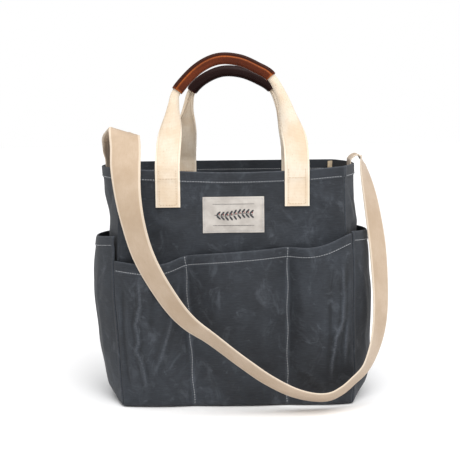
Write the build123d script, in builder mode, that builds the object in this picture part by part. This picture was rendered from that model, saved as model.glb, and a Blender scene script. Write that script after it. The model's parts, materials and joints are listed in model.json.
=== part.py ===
"""Garden tool bag: an open canvas tote with outside pockets on all four sides, two webbing carry
handles with leather grips, and a webbing shoulder strap that hangs down over the front.

Millimetres. The origin is the centre of the base's underside, +Z is up and the front faces -Y.
Every piece of cloth is drawn at its place on the filled-out bag, a little thicker than the real cloth.
"""

import os
from math import cos, radians, sin

from build123d import *

os.makedirs("parts", exist_ok=True)

# Body
BODY_WIDTH = 300.0  # between the two front corner seams, at the top edge
BODY_DEPTH = 148.0  # between a front and a back corner seam
BODY_HEIGHT = 318.0  # floor to top edge
CLOTH = 2.0  # wall thickness of a canvas panel
GAP = 0.3  # between two layers that lie on each other
HEM_HEIGHT = 15.0
HEM_EXTRA = 1.2  # how far the turned hem stands out from its panel

HALF_W = BODY_WIDTH / 2
HALF_D = BODY_DEPTH / 2
SIDE_END = HALF_D - CLOTH  # where a gusset meets the inside of the front or back panel

# Pockets
POCKET_FLOOR = 1.0
POCKET_TOP_MIDDLE = 211.0  # height of the slanting front pocket edge at the bag's middle
POCKET_TOP_SLOPE = 0.09  # it rises towards the right
BACK_POCKET_TOP = 211.0
SIDE_POCKET_TOP = 230.0
SEAM_STRIP = 5.0  # width of the strip that is sewn down at a divider or corner
FRONT_DIVIDERS_TOP = (-63.0, 71.0)
FRONT_DIVIDERS_FOOT = (-53.0, 70.0)
BACK_DIVIDERS = (-50.0, 50.0)

# Webbing
HANDLE_WEBBING_WIDTH = 32.0
STRAP_WIDTH = 38.0
PLY = 1.8  # one layer of handle webbing
STRAP_THICKNESS = 2.0
FRONT_LEGS = {"left": -84.0, "right": 84.0}  # x of the middle of each handle leg
REAR_LEGS = {"left": -66.0, "right": 88.0}
HANDLE_END_LENGTH = 51.0  # how far a sewn end reaches below the top edge
INNER_END_LENGTH = 40.0

# Leather grips, around the folded webbing
GRIP_WIDTH = 15.5
GRIP_DEPTH = 14.0
GRIP_WALL = 1.6
FOLDED_WIDTH = 8.5
FOLDED_PLY = 3.0

# Tape around the seam allowances in the four inside corners
BINDING_WIDTH = 9.0
BINDING_THICKNESS = 2.2
BINDING_STAND_OFF = 2.5
BINDING_FOOT = 4.0

# Label
LABEL_WIDTH = 80.0
LABEL_HEIGHT = 47.0
LABEL_THICKNESS = 0.8
LABEL_MIDDLE = (1.0, 256.5)  # x, z

# By height above the floor: how far a corner seam stands outside half the width, and how far each
# panel bows out between its seams
WALL_LEVELS = (2.0, 34.0, 70.0, 150.0, 222.0, 250.0, 284.0, BODY_HEIGHT)
LEFT_CORNER = (-2.0, 0.5, 2.0, 4.5, 2.0, 1.0, 0.5, 0.0)
RIGHT_CORNER = (7.0, 10.0, 9.0, 4.0, 0.0, -1.0, -2.0, -2.0)
FRONT_BOW = (2.0, 4.0, 5.0, 5.0, 5.0, 4.7, 4.4, 4.0)
LEFT_BOW = (6.0, 9.0, 12.0, 14.0, 15.0, 15.0, 22.0, 26.0)
RIGHT_BOW = (3.0, 9.0, 11.0, 15.0, 18.0, 20.0, 18.0, 17.0)

FRONT_POCKET_LEVELS = (POCKET_FLOOR, 20.0, 70.0, 150.0, 240.0)
LEFT_COMPARTMENT_BOW = (1.5, 9.0, 17.0, 20.0, 16.0)
MIDDLE_COMPARTMENT_BOW = (1.5, 6.0, 12.0, 14.0, 10.0)
RIGHT_COMPARTMENT_BOW = (1.5, 9.0, 18.0, 21.0, 15.0)

SIDE_POCKET_LEVELS = (POCKET_FLOOR, 7.0, 28.0, 72.0, 120.0, 166.0, 187.0, SIDE_POCKET_TOP)
LEFT_POCKET_BOW = (8.0, 19.0, 24.0, 30.5, 34.0, 35.0, 35.0, 30.5)
RIGHT_POCKET_BOW = (4.0, 13.5, 26.0, 28.0, 33.0, 33.5, 33.0, 31.0)


def at_level(levels, values, height):
    """A value from a table by height, in a straight line between the table's rows."""
    for low, high, a, b in zip(levels, levels[1:], values, values[1:]):
        if height <= high:
            return a + (b - a) * (height - low) / (high - low)
    return values[-1]


def corner_x(side, height):
    """x of the corner seams on the left (side -1) or right (side 1) at one height."""
    table = LEFT_CORNER if side < 0 else RIGHT_CORNER
    return side * (HALF_W + at_level(WALL_LEVELS, table, height))


def front_face(x, height):
    """Distance of the front panel's outer face from the bag's middle plane. The back mirrors it."""
    bow = at_level(WALL_LEVELS, FRONT_BOW, height)
    left, right = corner_x(-1, height), corner_x(1, height)
    return HALF_D + bow * (1 - ((2 * x - left - right) / (right - left)) ** 2)


def wall_arc(side, height, stand_off):
    """The front or back wall at one height, from the left corner to the right one."""
    y = HALF_D + stand_off
    left, right = corner_x(-1, height), corner_x(1, height)
    centre = (left + right) / 2
    middle = (centre, side * (front_face(centre, height) + stand_off))
    return [(left, side * y), ("arc", middle), (right, side * y)]


def gusset_arc(side, height, bow, stand_off):
    """A side wall at one height, between the insides of the front and back panels."""
    x = corner_x(side, height) + side * stand_off
    return [(x, -SIDE_END), ("arc", (x + side * bow, 0)), (x, SIDE_END)]


def layer(points, shift):
    """A closed face between a chain of lines and arcs and the same chain shifted.

    points is a list of corners, and between two corners an optional ("arc", middle) entry."""
    with BuildSketch() as sheet:
        with BuildLine():
            for move in (Vector(0, 0), shift):
                here = Vector(*points[0]) + move
                middle = None
                for entry in points[1:]:
                    if entry[0] == "arc":
                        middle = Vector(*entry[1]) + move
                        continue
                    there = Vector(*entry) + move
                    if middle is None:
                        Line(here, there)
                    else:
                        ThreePointArc(here, middle, there)
                    here, middle = there, None
            Line(Vector(*points[0]), Vector(*points[0]) + shift)
            Line(Vector(*points[-1]), Vector(*points[-1]) + shift)
        make_face()
    return sheet.sketch


def save(part, name):
    part.label = name
    export_step(part, f"parts/{name}.step")


# ---------------------------------------------------------------- walls and base


def front_or_back_panel(side):
    """side is -1 for the front and 1 for the back. The hem is turned to the outside."""
    with BuildPart() as panel:
        for height in WALL_LEVELS:
            with BuildSketch(Plane.XY.offset(height)):
                add(layer(wall_arc(side, height, 0), Vector(0, -side * CLOTH)))
        loft(ruled=True)
        for height in (BODY_HEIGHT - HEM_HEIGHT, BODY_HEIGHT):
            with BuildSketch(Plane.XY.offset(height)):
                depth = HEM_EXTRA + CLOTH / 2
                add(layer(wall_arc(side, height, HEM_EXTRA), Vector(0, -side * depth)))
        loft(ruled=True)
    return panel.part


def gusset(side, bows):
    """side is -1 for the left and 1 for the right."""
    with BuildPart() as panel:
        for height, bow in zip(WALL_LEVELS, bows):
            with BuildSketch(Plane.XY.offset(height)):
                add(layer(gusset_arc(side, height, bow, 0), Vector(-side * CLOTH, 0)))
        loft(ruled=True)
        for height in (BODY_HEIGHT - HEM_HEIGHT, BODY_HEIGHT):
            bow = at_level(WALL_LEVELS, bows, height)
            with BuildSketch(Plane.XY.offset(height)):
                depth = HEM_EXTRA + CLOTH / 2
                add(layer(gusset_arc(side, height, bow, HEM_EXTRA), Vector(-side * depth, 0)))
        loft(ruled=True)
    return panel.part


with BuildPart() as base_panel:
    with BuildSketch():
        with BuildLine():
            foot = WALL_LEVELS[0]
            left, right = corner_x(-1, foot), corner_x(1, foot)
            for y in (-1, 1):
                ThreePointArc(
                    (left, y * HALF_D), ((left + right) / 2, y * front_face(0, foot)), (right, y * HALF_D)
                )
            for x, bow in ((left, -LEFT_BOW[0]), (right, RIGHT_BOW[0])):
                ThreePointArc((x, -HALF_D), (x + bow, 0), (x, HALF_D))
        make_face()
    extrude(amount=WALL_LEVELS[0])

save(base_panel.part, "base_panel")
save(front_or_back_panel(-1), "front_panel")
save(front_or_back_panel(1), "back_panel")
save(gusset(-1, LEFT_BOW), "left_gusset")
save(gusset(1, RIGHT_BOW), "right_gusset")


# ---------------------------------------------------------------- pockets


def front_pocket_edge(height):
    """The front pocket's outer line at one height: three bowed compartments between sewn strips."""
    share = height / POCKET_TOP_MIDDLE
    dividers = [
        foot + (top - foot) * share
        for foot, top in zip(FRONT_DIVIDERS_FOOT, FRONT_DIVIDERS_TOP)
    ]
    bows = [
        at_level(FRONT_POCKET_LEVELS, table, height)
        for table in (LEFT_COMPARTMENT_BOW, MIDDLE_COMPARTMENT_BOW, RIGHT_COMPARTMENT_BOW)
    ]
    return compartments(-1, dividers, bows, height)


def back_pocket_edge(height):
    bow = at_level(FRONT_POCKET_LEVELS, MIDDLE_COMPARTMENT_BOW, height)
    return compartments(1, BACK_DIVIDERS, (bow, bow, bow), height)


def compartments(side, dividers, bows, height):
    """Corners and arcs of a pocket sheet sewn to the front (side -1) or back (side 1) panel."""
    left_end, right_end = corner_x(-1, height) - CLOTH, corner_x(1, height) + CLOTH
    strips = [(left_end, left_end + SEAM_STRIP)]
    strips += [(x - SEAM_STRIP / 2, x + SEAM_STRIP / 2) for x in dividers]
    strips += [(right_end - SEAM_STRIP, right_end)]
    stand_off = GAP + CLOTH
    points = []
    for index, (left, right) in enumerate(strips):
        y = max(front_face(x, height) for x in (left, right)) + stand_off
        if index:
            before = strips[index - 1][1]
            middle_x = (before + left) / 2
            middle_y = front_face(middle_x, height) + stand_off + bows[index - 1]
            points.append(("arc", (middle_x, side * middle_y)))
        points += [(left, side * y), (right, side * y)]
    return points


def face_pocket(side, edge, top_middle, slope):
    """The pocket sheet on the front or back, cut along its top edge."""
    with BuildPart() as pocket:
        for height in FRONT_POCKET_LEVELS:
            with BuildSketch(Plane.XY.offset(height)):
                add(layer(edge(height), Vector(0, -side * CLOTH)))
        loft(ruled=True)
        top = Plane(origin=(0, 0, top_middle), x_dir=(1, 0, slope), z_dir=(-slope, 0, 1))
        split(bisect_by=top, keep=Keep.BOTTOM)
    return pocket.part


def side_pocket(side, bows):
    with BuildPart() as pocket:
        for height, bow in zip(SIDE_POCKET_LEVELS, bows):
            with BuildSketch(Plane.XY.offset(height)):
                edge = gusset_arc(side, height, bow, 2 * GAP + CLOTH)
                add(layer(edge, Vector(-side * CLOTH, 0)))
        loft(ruled=True)
    return pocket.part


save(face_pocket(-1, front_pocket_edge, POCKET_TOP_MIDDLE, POCKET_TOP_SLOPE), "front_pocket")
save(face_pocket(1, back_pocket_edge, BACK_POCKET_TOP, 0), "back_pocket")
save(side_pocket(-1, LEFT_POCKET_BOW), "left_side_pocket")
save(side_pocket(1, RIGHT_POCKET_BOW), "right_side_pocket")


# ---------------------------------------------------------------- small sewn pieces


def patch(side, middle_x, width, low, high, face, thickness, inside=False):
    """A flat piece sewn on the front (side -1) or back (side 1) wall, following the wall's bow.

    face(x, height) is the distance from the middle plane of the surface it lies on."""
    with BuildPart() as piece:
        for height in (low, high):
            with BuildSketch(Plane.XY.offset(height)):
                xs = (middle_x - width / 2, middle_x, middle_x + width / 2)
                left, centre, right = [(x, side * face(x, height)) for x in xs]
                toward = -side if inside else side
                add(layer([left, ("arc", centre), right], Vector(0, toward * thickness)))
        loft(ruled=True)
    return piece.part


def outside_of_hem(x, height):
    return front_face(x, BODY_HEIGHT) + HEM_EXTRA + 2 * GAP


def outside_of_wall(x, height):
    return front_face(x, height) + GAP


def inside_of_wall(x, height):
    return front_face(x, BODY_HEIGHT) - CLOTH - GAP


label_x, label_z = LABEL_MIDDLE
label_foot, label_top = label_z - LABEL_HEIGHT / 2, label_z + LABEL_HEIGHT / 2
label = patch(-1, label_x, LABEL_WIDTH, label_foot, label_top, outside_of_wall, LABEL_THICKNESS)
save(label, "label")

for name, side, legs in (("front", -1, FRONT_LEGS), ("rear", 1, REAR_LEGS)):
    for where, face, length in (
        ("outer", outside_of_hem, HANDLE_END_LENGTH),
        ("inner", inside_of_wall, INNER_END_LENGTH),
    ):
        for hand, x in legs.items():
            foot, inside = BODY_HEIGHT - length, where == "inner"
            end = patch(side, x, HANDLE_WEBBING_WIDTH, foot, BODY_HEIGHT, face, PLY, inside=inside)
            save(end, f"{name}_handle_{hand}_{where}_end")


# The seam allowances in the four inside corners are bound with tape.
for name, side_x, side_y in (
    ("front_left", -1, -1), ("front_right", 1, -1), ("back_left", -1, 1), ("back_right", 1, 1),
):
    reach = BINDING_STAND_OFF + BINDING_WIDTH / 2
    with BuildPart() as binding:
        for height in (BINDING_FOOT, *WALL_LEVELS[1:]):
            x = corner_x(side_x, height) - side_x * (CLOTH + reach * cos(radians(45)))
            y = side_y * (SIDE_END - reach * sin(radians(45)))
            with BuildSketch(Plane.XY.offset(height)):
                with Locations((x, y)):
                    Rectangle(BINDING_WIDTH, BINDING_THICKNESS, rotation=45 * side_x * side_y)
        loft(ruled=True)
    save(binding.part, f"{name}_seam_binding")


# ---------------------------------------------------------------- ribbons


def eased(rows, steps):
    """Rows of numbers with more rows set in between, on a smooth curve through the given ones."""
    smooth = []
    for index in range(len(rows) - 1):
        before = rows[max(index - 1, 0)]
        here, there = rows[index], rows[index + 1]
        after = rows[min(index + 2, len(rows) - 1)]
        for step in range(steps):
            t = step / steps
            smooth.append(
                [
                    b + (c - a) / 2 * t + (a - 2.5 * b + 2 * c - d / 2) * t**2
                    + ((d - a) / 2 + 1.5 * (b - c)) * t**3
                    for a, b, c, d in zip(before, here, there, after)
                ]
            )
    return smooth + [list(rows[-1])]


def ribbon(stations):
    """A solid through rectangles. Each station is (point, across, width, thickness, facing).

    across points along the width. facing is the section's normal, or None for the way the points run."""
    with BuildPart() as piece:
        for index, (point, across, width, thickness, facing) in enumerate(stations):
            before = Vector(stations[max(index - 1, 0)][0])
            after = Vector(stations[min(index + 1, len(stations) - 1)][0])
            with BuildSketch(Plane(origin=point, x_dir=across, z_dir=facing or after - before)):
                Rectangle(width, thickness)
        loft(ruled=True)
    return piece.part


# ---------------------------------------------------------------- carry handles

HANDLE_CLEARANCE = 4.0  # from the top edge up to the line that a handle folds about

# The middle line of each handle in its own plane: across the bag, and up from the fold line.
FRONT_ARCH = (
    (-84, 0.5), (-82, 28), (-78.5, 58), (-75.5, 80), (-70.5, 97), (-45, 124.5), (-18, 138), (10, 136.5),
    (34, 126), (52, 114), (66.5, 88), (76, 58), (82.5, 28), (84, 0.5),
)
REAR_ARCH = (
    (-66, 0.5), (-65, 28), (-63, 56), (-60, 78), (-54, 99), (-36, 116), (-11, 126), (16, 124),
    (41, 113.5), (58, 101.5), (70, 80), (79, 56), (86, 28), (88, 0.5),
)
# Width and thickness of one ply at each point of the arch, and how far the plies spread at the hem:
# flat legs, folded in half in the grip
SPREAD = 1.9
FLAT_AT_HEM = (HANDLE_WEBBING_WIDTH, PLY, SPREAD)
FLAT = (HANDLE_WEBBING_WIDTH, PLY, SPREAD / 2)
CUPPED = (HANDLE_WEBBING_WIDTH * 0.85, PLY * 1.2, 0)
GATHERED = (HANDLE_WEBBING_WIDTH * 0.55, PLY * 1.6, 0)
FOLDED = (FOLDED_WIDTH, FOLDED_PLY, 0)
ARCH_SECTIONS = (
    (FLAT_AT_HEM, FLAT, CUPPED, GATHERED) + (FOLDED,) * 6 + (GATHERED, CUPPED, FLAT, FLAT_AT_HEM)
)
ARCH_STEPS = 3
GRIP_FIRST, GRIP_LAST = 4, 9
STACK = 2 * PLY + 4 * GAP + CLOTH + HEM_EXTRA  # both plies with the hem between them


def handle_plane(side, lean, leg_x):
    """side is -1 for the front. Local x is the bag's X, local y goes up the handle, lean is inwards.

    The plane holds the fold line, which lies along the outer face of the sewn ends."""
    up = Vector(0, -side * sin(radians(lean)), cos(radians(lean)))
    hinge_y = outside_of_hem(leg_x, BODY_HEIGHT) + PLY + GAP
    hinge = (0, side * hinge_y, BODY_HEIGHT + HANDLE_CLEARANCE)
    return Plane(origin=hinge, x_dir=(1, 0, 0), z_dir=Vector(1, 0, 0).cross(up))


def arch_stations(plane, rows, first, last):
    """Each row's place in its plane, and the handle's direction there: up at both ends of the arch."""
    for index in range(first, last + 1):
        x, y = rows[index][:2]
        before, after = rows[max(index - 1, 0)], rows[min(index + 1, len(rows) - 1)]
        run = Vector(after[0] - before[0], after[1] - before[1], 0)
        if index in (0, len(rows) - 1):
            run = Vector(0, 1 if index == 0 else -1, 0)
        along = plane.from_local_coords(run) - plane.origin
        across = plane.from_local_coords(Vector(0, 0, 1).cross(run)) - plane.origin
        yield rows[index], Vector(x, y, 0), across, along


def handle_ply(plane, rows, inward, which):
    """which is -1 for the outer ply and 1 for the inner one. inward is the sign of local z into the bag."""
    stations = []
    for row, place, across, along in arch_stations(plane, rows, 0, len(rows) - 1):
        width, thickness, spread = row[2:]
        place.Z = inward * (STACK / 2 + which * (thickness / 2 + GAP / 2 + spread))
        stations.append((plane.from_local_coords(place), across, width, thickness, along))
    return ribbon(stations)


def grip(plane, rows, depth):
    """A leather tube along the arch between the two places where the webbing is folded."""
    first, last = GRIP_FIRST * ARCH_STEPS, GRIP_LAST * ARCH_STEPS
    with BuildPart() as tube:
        for wall, mode in ((0, Mode.ADD), (GRIP_WALL, Mode.SUBTRACT)):
            for _, place, across, along in arch_stations(plane, rows, first, last):
                place.Z = depth
                section = Plane(plane.from_local_coords(place), x_dir=across, z_dir=along)
                with BuildSketch(section):
                    Ellipse(GRIP_WIDTH / 2 - wall, GRIP_DEPTH / 2 - wall)
            loft(ruled=True, mode=mode)
    return tube.part


for name, side, lean, arch in (("front", -1, 9, FRONT_ARCH), ("rear", 1, 13, REAR_ARCH)):
    plane = handle_plane(side, lean, 84.0)
    rows = eased([corner + section for corner, section in zip(arch, ARCH_SECTIONS)], ARCH_STEPS)
    inward = 1 if plane.z_dir.Y * side < 0 else -1
    for where, which in (("outer", -1), ("inner", 1)):
        save(handle_ply(plane, rows, inward, which), f"{name}_handle_{where}_webbing")
    save(grip(plane, rows, inward * STACK / 2), f"{name}_grip")


# ---------------------------------------------------------------- shoulder strap

# The strap turns about the line from the fold at its left end to the top of its right arch.
STRAP_HINGE_LEFT = Vector(-143.0, -44.0, 366.0)
STRAP_HINGE_RIGHT = Vector(171.0, 0.0, 329.0)
HINGE_RUN = (STRAP_HINGE_RIGHT - STRAP_HINGE_LEFT).normalized()
FOLD_RUN = Vector(HINGE_RUN.Y, -HINGE_RUN.X, 0).normalized()  # forwards over the left fold
FOLD_DOWN = FOLD_RUN.cross(HINGE_RUN)
if FOLD_DOWN.Z > 0:
    FOLD_DOWN = -FOLD_DOWN
STRAP_BREAK = 0.4  # from the fold line to the strap on either side of it


def shown(rows):
    """Stations of the strap where it hangs in front. Each row is x, y, z and the share of the width
    that shows from the front: 1 lies flat to the front, and with less the outer edge lies further back."""
    stations = []
    for before, (x, y, z, share), after in zip(rows, rows[1:], rows[2:]):
        run = Vector(*after[:3]) - Vector(*before[:3])
        flat = (run.X**2 + run.Z**2) ** 0.5
        back = ((1 - share**2) / (1 + (run.Y / flat) ** 2)) ** 0.5
        slide = -back * run.Y / flat
        across = Vector(
            share * run.Z / flat + slide * run.X / flat,
            back,
            -share * run.X / flat + slide * run.Z / flat,
        )
        stations.append(strap_station((x, y, z), across, run))
    return stations


def strap_station(point, across, facing=None):
    return (point, across, STRAP_WIDTH, STRAP_THICKNESS, facing)


fold = STRAP_HINGE_LEFT + FOLD_DOWN * STRAP_THICKNESS / 2
over_hem = STRAP_HINGE_RIGHT

# The left end is sewn inside the left gusset, climbs out of the bag and turns to face forwards.
# Each row is x, y, z and the turn of the width direction, in degrees from straight across the gusset.
LEFT_RISE = (
    (-165.2, 0, 272, 0), (-168.8, 0, 300, 0), (-170.7, 0, 320, 1), (-171, -5, 339, 12),
    (-163.5, -16, 354, 33), (-154.5, -30, 363, 60),
)
left_end = [
    strap_station((x, y, z), (-sin(radians(turn)), -cos(radians(turn)), 0))
    for x, y, z, turn in eased(LEFT_RISE, 3)
]
left_end.append(strap_station(fold - FOLD_RUN * STRAP_BREAK, -HINGE_RUN, FOLD_RUN))

# The free part hangs down over the front and comes up past the right side pocket.
HANGING = (
    (-140.5, -57, 360.5, 0.99), (-138.5, -68, 344, 0.99), (-138, -80, 318, 0.98),
    (-134.5, -92, 282, 0.88), (-127.5, -102, 247, 0.8), (-116, -109, 211, 0.76),
    (-98, -114, 174, 0.72), (-77, -117, 143, 0.69), (-56, -119, 121, 0.63), (-32, -120, 103, 0.55),
    (-9, -121, 85, 0.52), (16, -121, 66, 0.52), (42, -121, 47, 0.52), (72, -120, 31, 0.51),
    (100, -117, 22.5, 0.5), (122, -113, 21, 0.52), (139, -108, 27, 0.5), (155, -100, 38, 0.48),
    (173, -88, 54, 0.5), (187, -74, 79, 0.54), (194.5, -62, 108, 0.58), (197.5, -48, 148, 0.62),
    (197, -37, 187, 0.64), (193, -28, 228, 0.63), (188, -19, 267, 0.56), (182.5, -9, 299, 0.42),
    (178.5, -1, 320, 0.22),
)
free_part = [
    strap_station(fold + FOLD_RUN * STRAP_BREAK, -HINGE_RUN, FOLD_RUN),
    strap_station(fold + FOLD_RUN * 7 + FOLD_DOWN * 0.8, -HINGE_RUN, FOLD_RUN + FOLD_DOWN * 0.25),
    *shown(eased(HANGING, 3)),
    strap_station((176.5, 0, 325), (0, 1, 0), (-1, 0, 1)),
    strap_station(over_hem + HINGE_RUN * STRAP_BREAK, (0, 1, 0), -HINGE_RUN),
]
# The right end comes over the right gusset's top edge and is sewn inside it.
right_end = [
    strap_station(over_hem - HINGE_RUN * STRAP_BREAK, (0, 1, 0), -HINGE_RUN),
    strap_station((165.5, 0, 327.6), (0, 1, 0), (-1, 0, -0.5)),
    strap_station((161.2, 0, 323.5), (0, 1, 0), (-0.5, 0, -1)),
    strap_station((160.3, 0, 318), (0, 1, 0), (0, 0, -1)),
    strap_station((161.2, 0, 284), (0, 1, 0), (0, 0, -1)),
    strap_station((161.8, 0, 272), (0, 1, 0), (0, 0, -1)),
]
save(ribbon(left_end), "strap_left_end")
save(ribbon(free_part), "shoulder_strap")
save(ribbon(right_end), "strap_right_end")
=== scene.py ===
"""A garden tool bag of waxed canvas: an open top, pockets on all four sides, two carry handles
with leather grips and a webbing shoulder strap. Everything is in metres, in the frame of the
CAD model: X to the right, Y to the back, Z up, with the front of the bag at -Y."""

import json
from math import cos, pi, radians, sin, sqrt

import bmesh
import bpy
import numpy as np
from mathutils import Matrix, Vector


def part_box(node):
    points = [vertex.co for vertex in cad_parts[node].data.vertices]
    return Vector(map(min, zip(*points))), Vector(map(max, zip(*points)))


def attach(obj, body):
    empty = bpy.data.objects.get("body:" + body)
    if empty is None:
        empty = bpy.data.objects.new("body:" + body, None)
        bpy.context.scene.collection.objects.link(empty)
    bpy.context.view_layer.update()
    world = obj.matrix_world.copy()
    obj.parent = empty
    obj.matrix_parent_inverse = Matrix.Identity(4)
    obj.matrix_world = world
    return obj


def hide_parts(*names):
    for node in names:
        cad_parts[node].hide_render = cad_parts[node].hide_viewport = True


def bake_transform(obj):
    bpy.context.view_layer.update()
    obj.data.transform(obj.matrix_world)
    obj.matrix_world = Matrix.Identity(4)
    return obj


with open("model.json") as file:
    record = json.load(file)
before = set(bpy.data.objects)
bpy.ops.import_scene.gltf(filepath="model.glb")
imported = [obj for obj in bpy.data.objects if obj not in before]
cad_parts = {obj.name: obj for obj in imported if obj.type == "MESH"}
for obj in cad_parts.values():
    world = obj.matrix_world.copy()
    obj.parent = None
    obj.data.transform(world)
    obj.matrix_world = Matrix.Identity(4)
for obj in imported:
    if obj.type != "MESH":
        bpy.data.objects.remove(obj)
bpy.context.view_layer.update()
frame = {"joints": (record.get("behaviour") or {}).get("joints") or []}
hinges = {joint["name"]: Vector(joint["pos_m"]) for joint in frame["joints"]}

MM = 0.001


def mm(*values):
    return np.array(values, float) * MM


# ---------------------------------------------------------------- sizes of the bag

HALF_WIDTH = 150 * MM  # from the middle to a corner seam, at the top edge
HALF_DEPTH = 74 * MM
HEIGHT = 318 * MM
CLOTH = 2 * MM
GAP = 0.3 * MM
HEM = 15 * MM  # height of the turned top hem
HEM_EXTRA = 1.2 * MM  # how far the hem stands out
POCKET_HEM = 14 * MM
ROLL = 2.2 * MM  # radius of a panel's edge where it turns in to a corner seam
FOOT_ROLL = 6 * MM  # the same where a panel turns in to the base
GAPE = {-1: 4 * MM, 1: 6.5 * MM}  # how much further out a pocket's mouth stands at the left and right
SHARP = 55  # degrees: a mesh is shaded smooth across every smaller angle

# By height: how far the corner seams lie outside the nominal width, and how far the walls bow out
WALL_LEVELS = mm(2, 34, 70, 150, 222, 250, 284, 318)
LEFT_CORNER = mm(-2, 0.5, 2, 4.5, 2, 1, 0.5, 0)
RIGHT_CORNER = mm(7, 10, 9, 4, 0, -1, -2, -2)
FRONT_BOW = mm(2, 4, 5, 5, 5, 4.7, 4.4, 4)
LEFT_BOW = mm(6, 9, 12, 14, 15, 15, 22, 26)
RIGHT_BOW = mm(3, 9, 11, 15, 18, 20, 18, 17)

POCKET_LEVELS = mm(1, 20, 70, 150, 240)
LEFT_COMPARTMENT = mm(1.5, 9, 17, 20, 16)
MIDDLE_COMPARTMENT = mm(1.5, 6, 12, 14, 10)
RIGHT_COMPARTMENT = mm(1.5, 9, 18, 21, 15)
SIDE_LEVELS = mm(1, 7, 28, 72, 120, 166, 187, 230)
LEFT_POCKET_BOW = mm(8, 19, 24, 30.5, 34, 35, 35, 30.5)
RIGHT_POCKET_BOW = mm(4, 13.5, 26, 28, 33, 33.5, 33, 31)
FRONT_DIVIDERS_TOP = mm(-63, 71)
FRONT_DIVIDERS_FOOT = mm(-53, 70)
BACK_DIVIDERS = mm(-50, 50)

# The front pocket's edge sags between the seams that hold it: x, then height
FRONT_EDGE_X = mm(-160, -135, -108, -85, -63, -30, 2, 40, 70, 100, 124, 142, 160)
FRONT_EDGE_Z = mm(197, 196, 193, 195, 204, 207, 209, 211.5, 213.5, 213, 218, 226, 231)
FRONT_SAG_X = mm(-150, -128, -78, -20, 20, 95, 140, 150)
FRONT_SAG = mm(0, 1.2, 3.6, 6.2, 6.4, 4.4, 0.5, 0)  # of the top edge between the corners
BACK_EDGE_X = mm(-160, -100, -50, 0, 50, 100, 160)
BACK_EDGE_Z = mm(210, 205, 209, 206, 209, 205, 210)

WEBBING_WIDTH = 32 * MM
WEBBING = 1.8 * MM
STRAP_WIDTH = 40 * MM
STRAP = 2 * MM


# ---------------------------------------------------------------- numbers and noise


def by_height(z, levels, values):
    """A table's value at each height, with its corners rounded."""
    shifts = mm(*range(-12, 13, 4))
    return np.mean([np.interp(z + shift, levels, values) for shift in shifts], axis=0)


def step(value, low, high):
    """0 below low, 1 above high, and smooth between."""
    t = np.clip((value - low) / (high - low), 0, 1)
    return t * t * (3 - 2 * t)


def hump(value, middle, width):
    """1 at the middle, fading to both sides."""
    return np.exp(-(((value - middle) / width) ** 2))


def undulation(points, wavelength, seed, waves=10):
    """Soft lumps about that far apart, from about -1 to 1, at each of an array of points."""
    chance = np.random.default_rng(seed)
    total = np.zeros(points.shape[:-1])
    for _ in range(waves):
        direction = chance.normal(size=points.shape[-1])
        direction *= 2 * pi / (wavelength * chance.uniform(0.7, 1.5) * np.linalg.norm(direction))
        total += np.sin(points @ direction + chance.uniform(0, 2 * pi))
    return total / (1.3 * sqrt(waves))


def fold_lines(points, lines):
    """Creases along given lines, added up. Each line is (points, half width, height)."""
    total = np.zeros(points.shape[:-1])
    for line, half_width, height in lines:
        line = mm(*line)
        nearest = np.full(points.shape[:-1], 1e9)
        along = np.zeros(points.shape[:-1])
        reach = 0.0
        for start, end in zip(line, line[1:]):
            run = end - start
            length = np.linalg.norm(run)
            share = np.clip(((points - start) @ run) / length**2, 0, 1)
            distance = np.linalg.norm(points - start - share[..., None] * run, axis=-1)
            closer = distance < nearest
            nearest = np.where(closer, distance, nearest)
            along = np.where(closer, reach + share * length, along)
            reach += length
        taper = step(along, -0.05 * reach, 0.3 * reach) * (1 - step(along, 0.7 * reach, 1.05 * reach))
        total += height * MM * taper * hump(nearest, 0, half_width * MM)
    return total


# ---------------------------------------------------------------- meshes


def new_object(name, mesh, material):
    mesh.materials.append(material)
    mesh.polygons.foreach_set("use_smooth", [True] * len(mesh.polygons))
    mesh.set_sharp_from_angle(angle=radians(SHARP))
    piece = bpy.data.objects.new(name, mesh)
    bpy.context.collection.objects.link(piece)
    return piece


def put_attributes(mesh, cloth, wear_and_painted_light):
    """The weave follows the attribute cloth, in metres along and across it.

    The other attribute runs from below 0, painted shade in a hollow, to 1 on a rubbed edge; on a grip it
    also holds painted light."""
    layer = mesh.attributes.new("cloth", "FLOAT_VECTOR", "POINT")
    layer.data.foreach_set("vector", np.asarray(cloth, np.float32).ravel())
    layer = mesh.attributes.new("wear_and_painted_light", "FLOAT", "POINT")
    layer.data.foreach_set("value", np.asarray(wear_and_painted_light, np.float32).ravel())


def face_outwards(mesh):
    shell = bmesh.new()
    shell.from_mesh(mesh)
    bmesh.ops.recalc_face_normals(shell, faces=shell.faces)
    shell.to_mesh(mesh)
    shell.free()


def closed_mesh(name, vertices, faces, material, cloth=None, wear_and_painted_light=None):
    mesh = bpy.data.meshes.new(name)
    mesh.from_pydata(vertices, [], faces)
    face_outwards(mesh)
    if cloth is not None:
        put_attributes(mesh, cloth, wear_and_painted_light)
    return new_object(name, mesh, material)


def grid_quads(rows, columns, around=False, closed=False):
    """Faces of a grid. around joins its two sides, and closed joins its last row to its first."""
    index = np.arange(rows * columns).reshape(rows, columns)
    if closed:
        index = np.concatenate([index, index[:1]])
    if around:
        index = np.concatenate([index, index[:, :1]], axis=1)
    corners = (index[:-1, :-1], index[:-1, 1:], index[1:, 1:], index[1:, :-1])
    return np.stack(corners, axis=-1).reshape(-1, 4)


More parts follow.
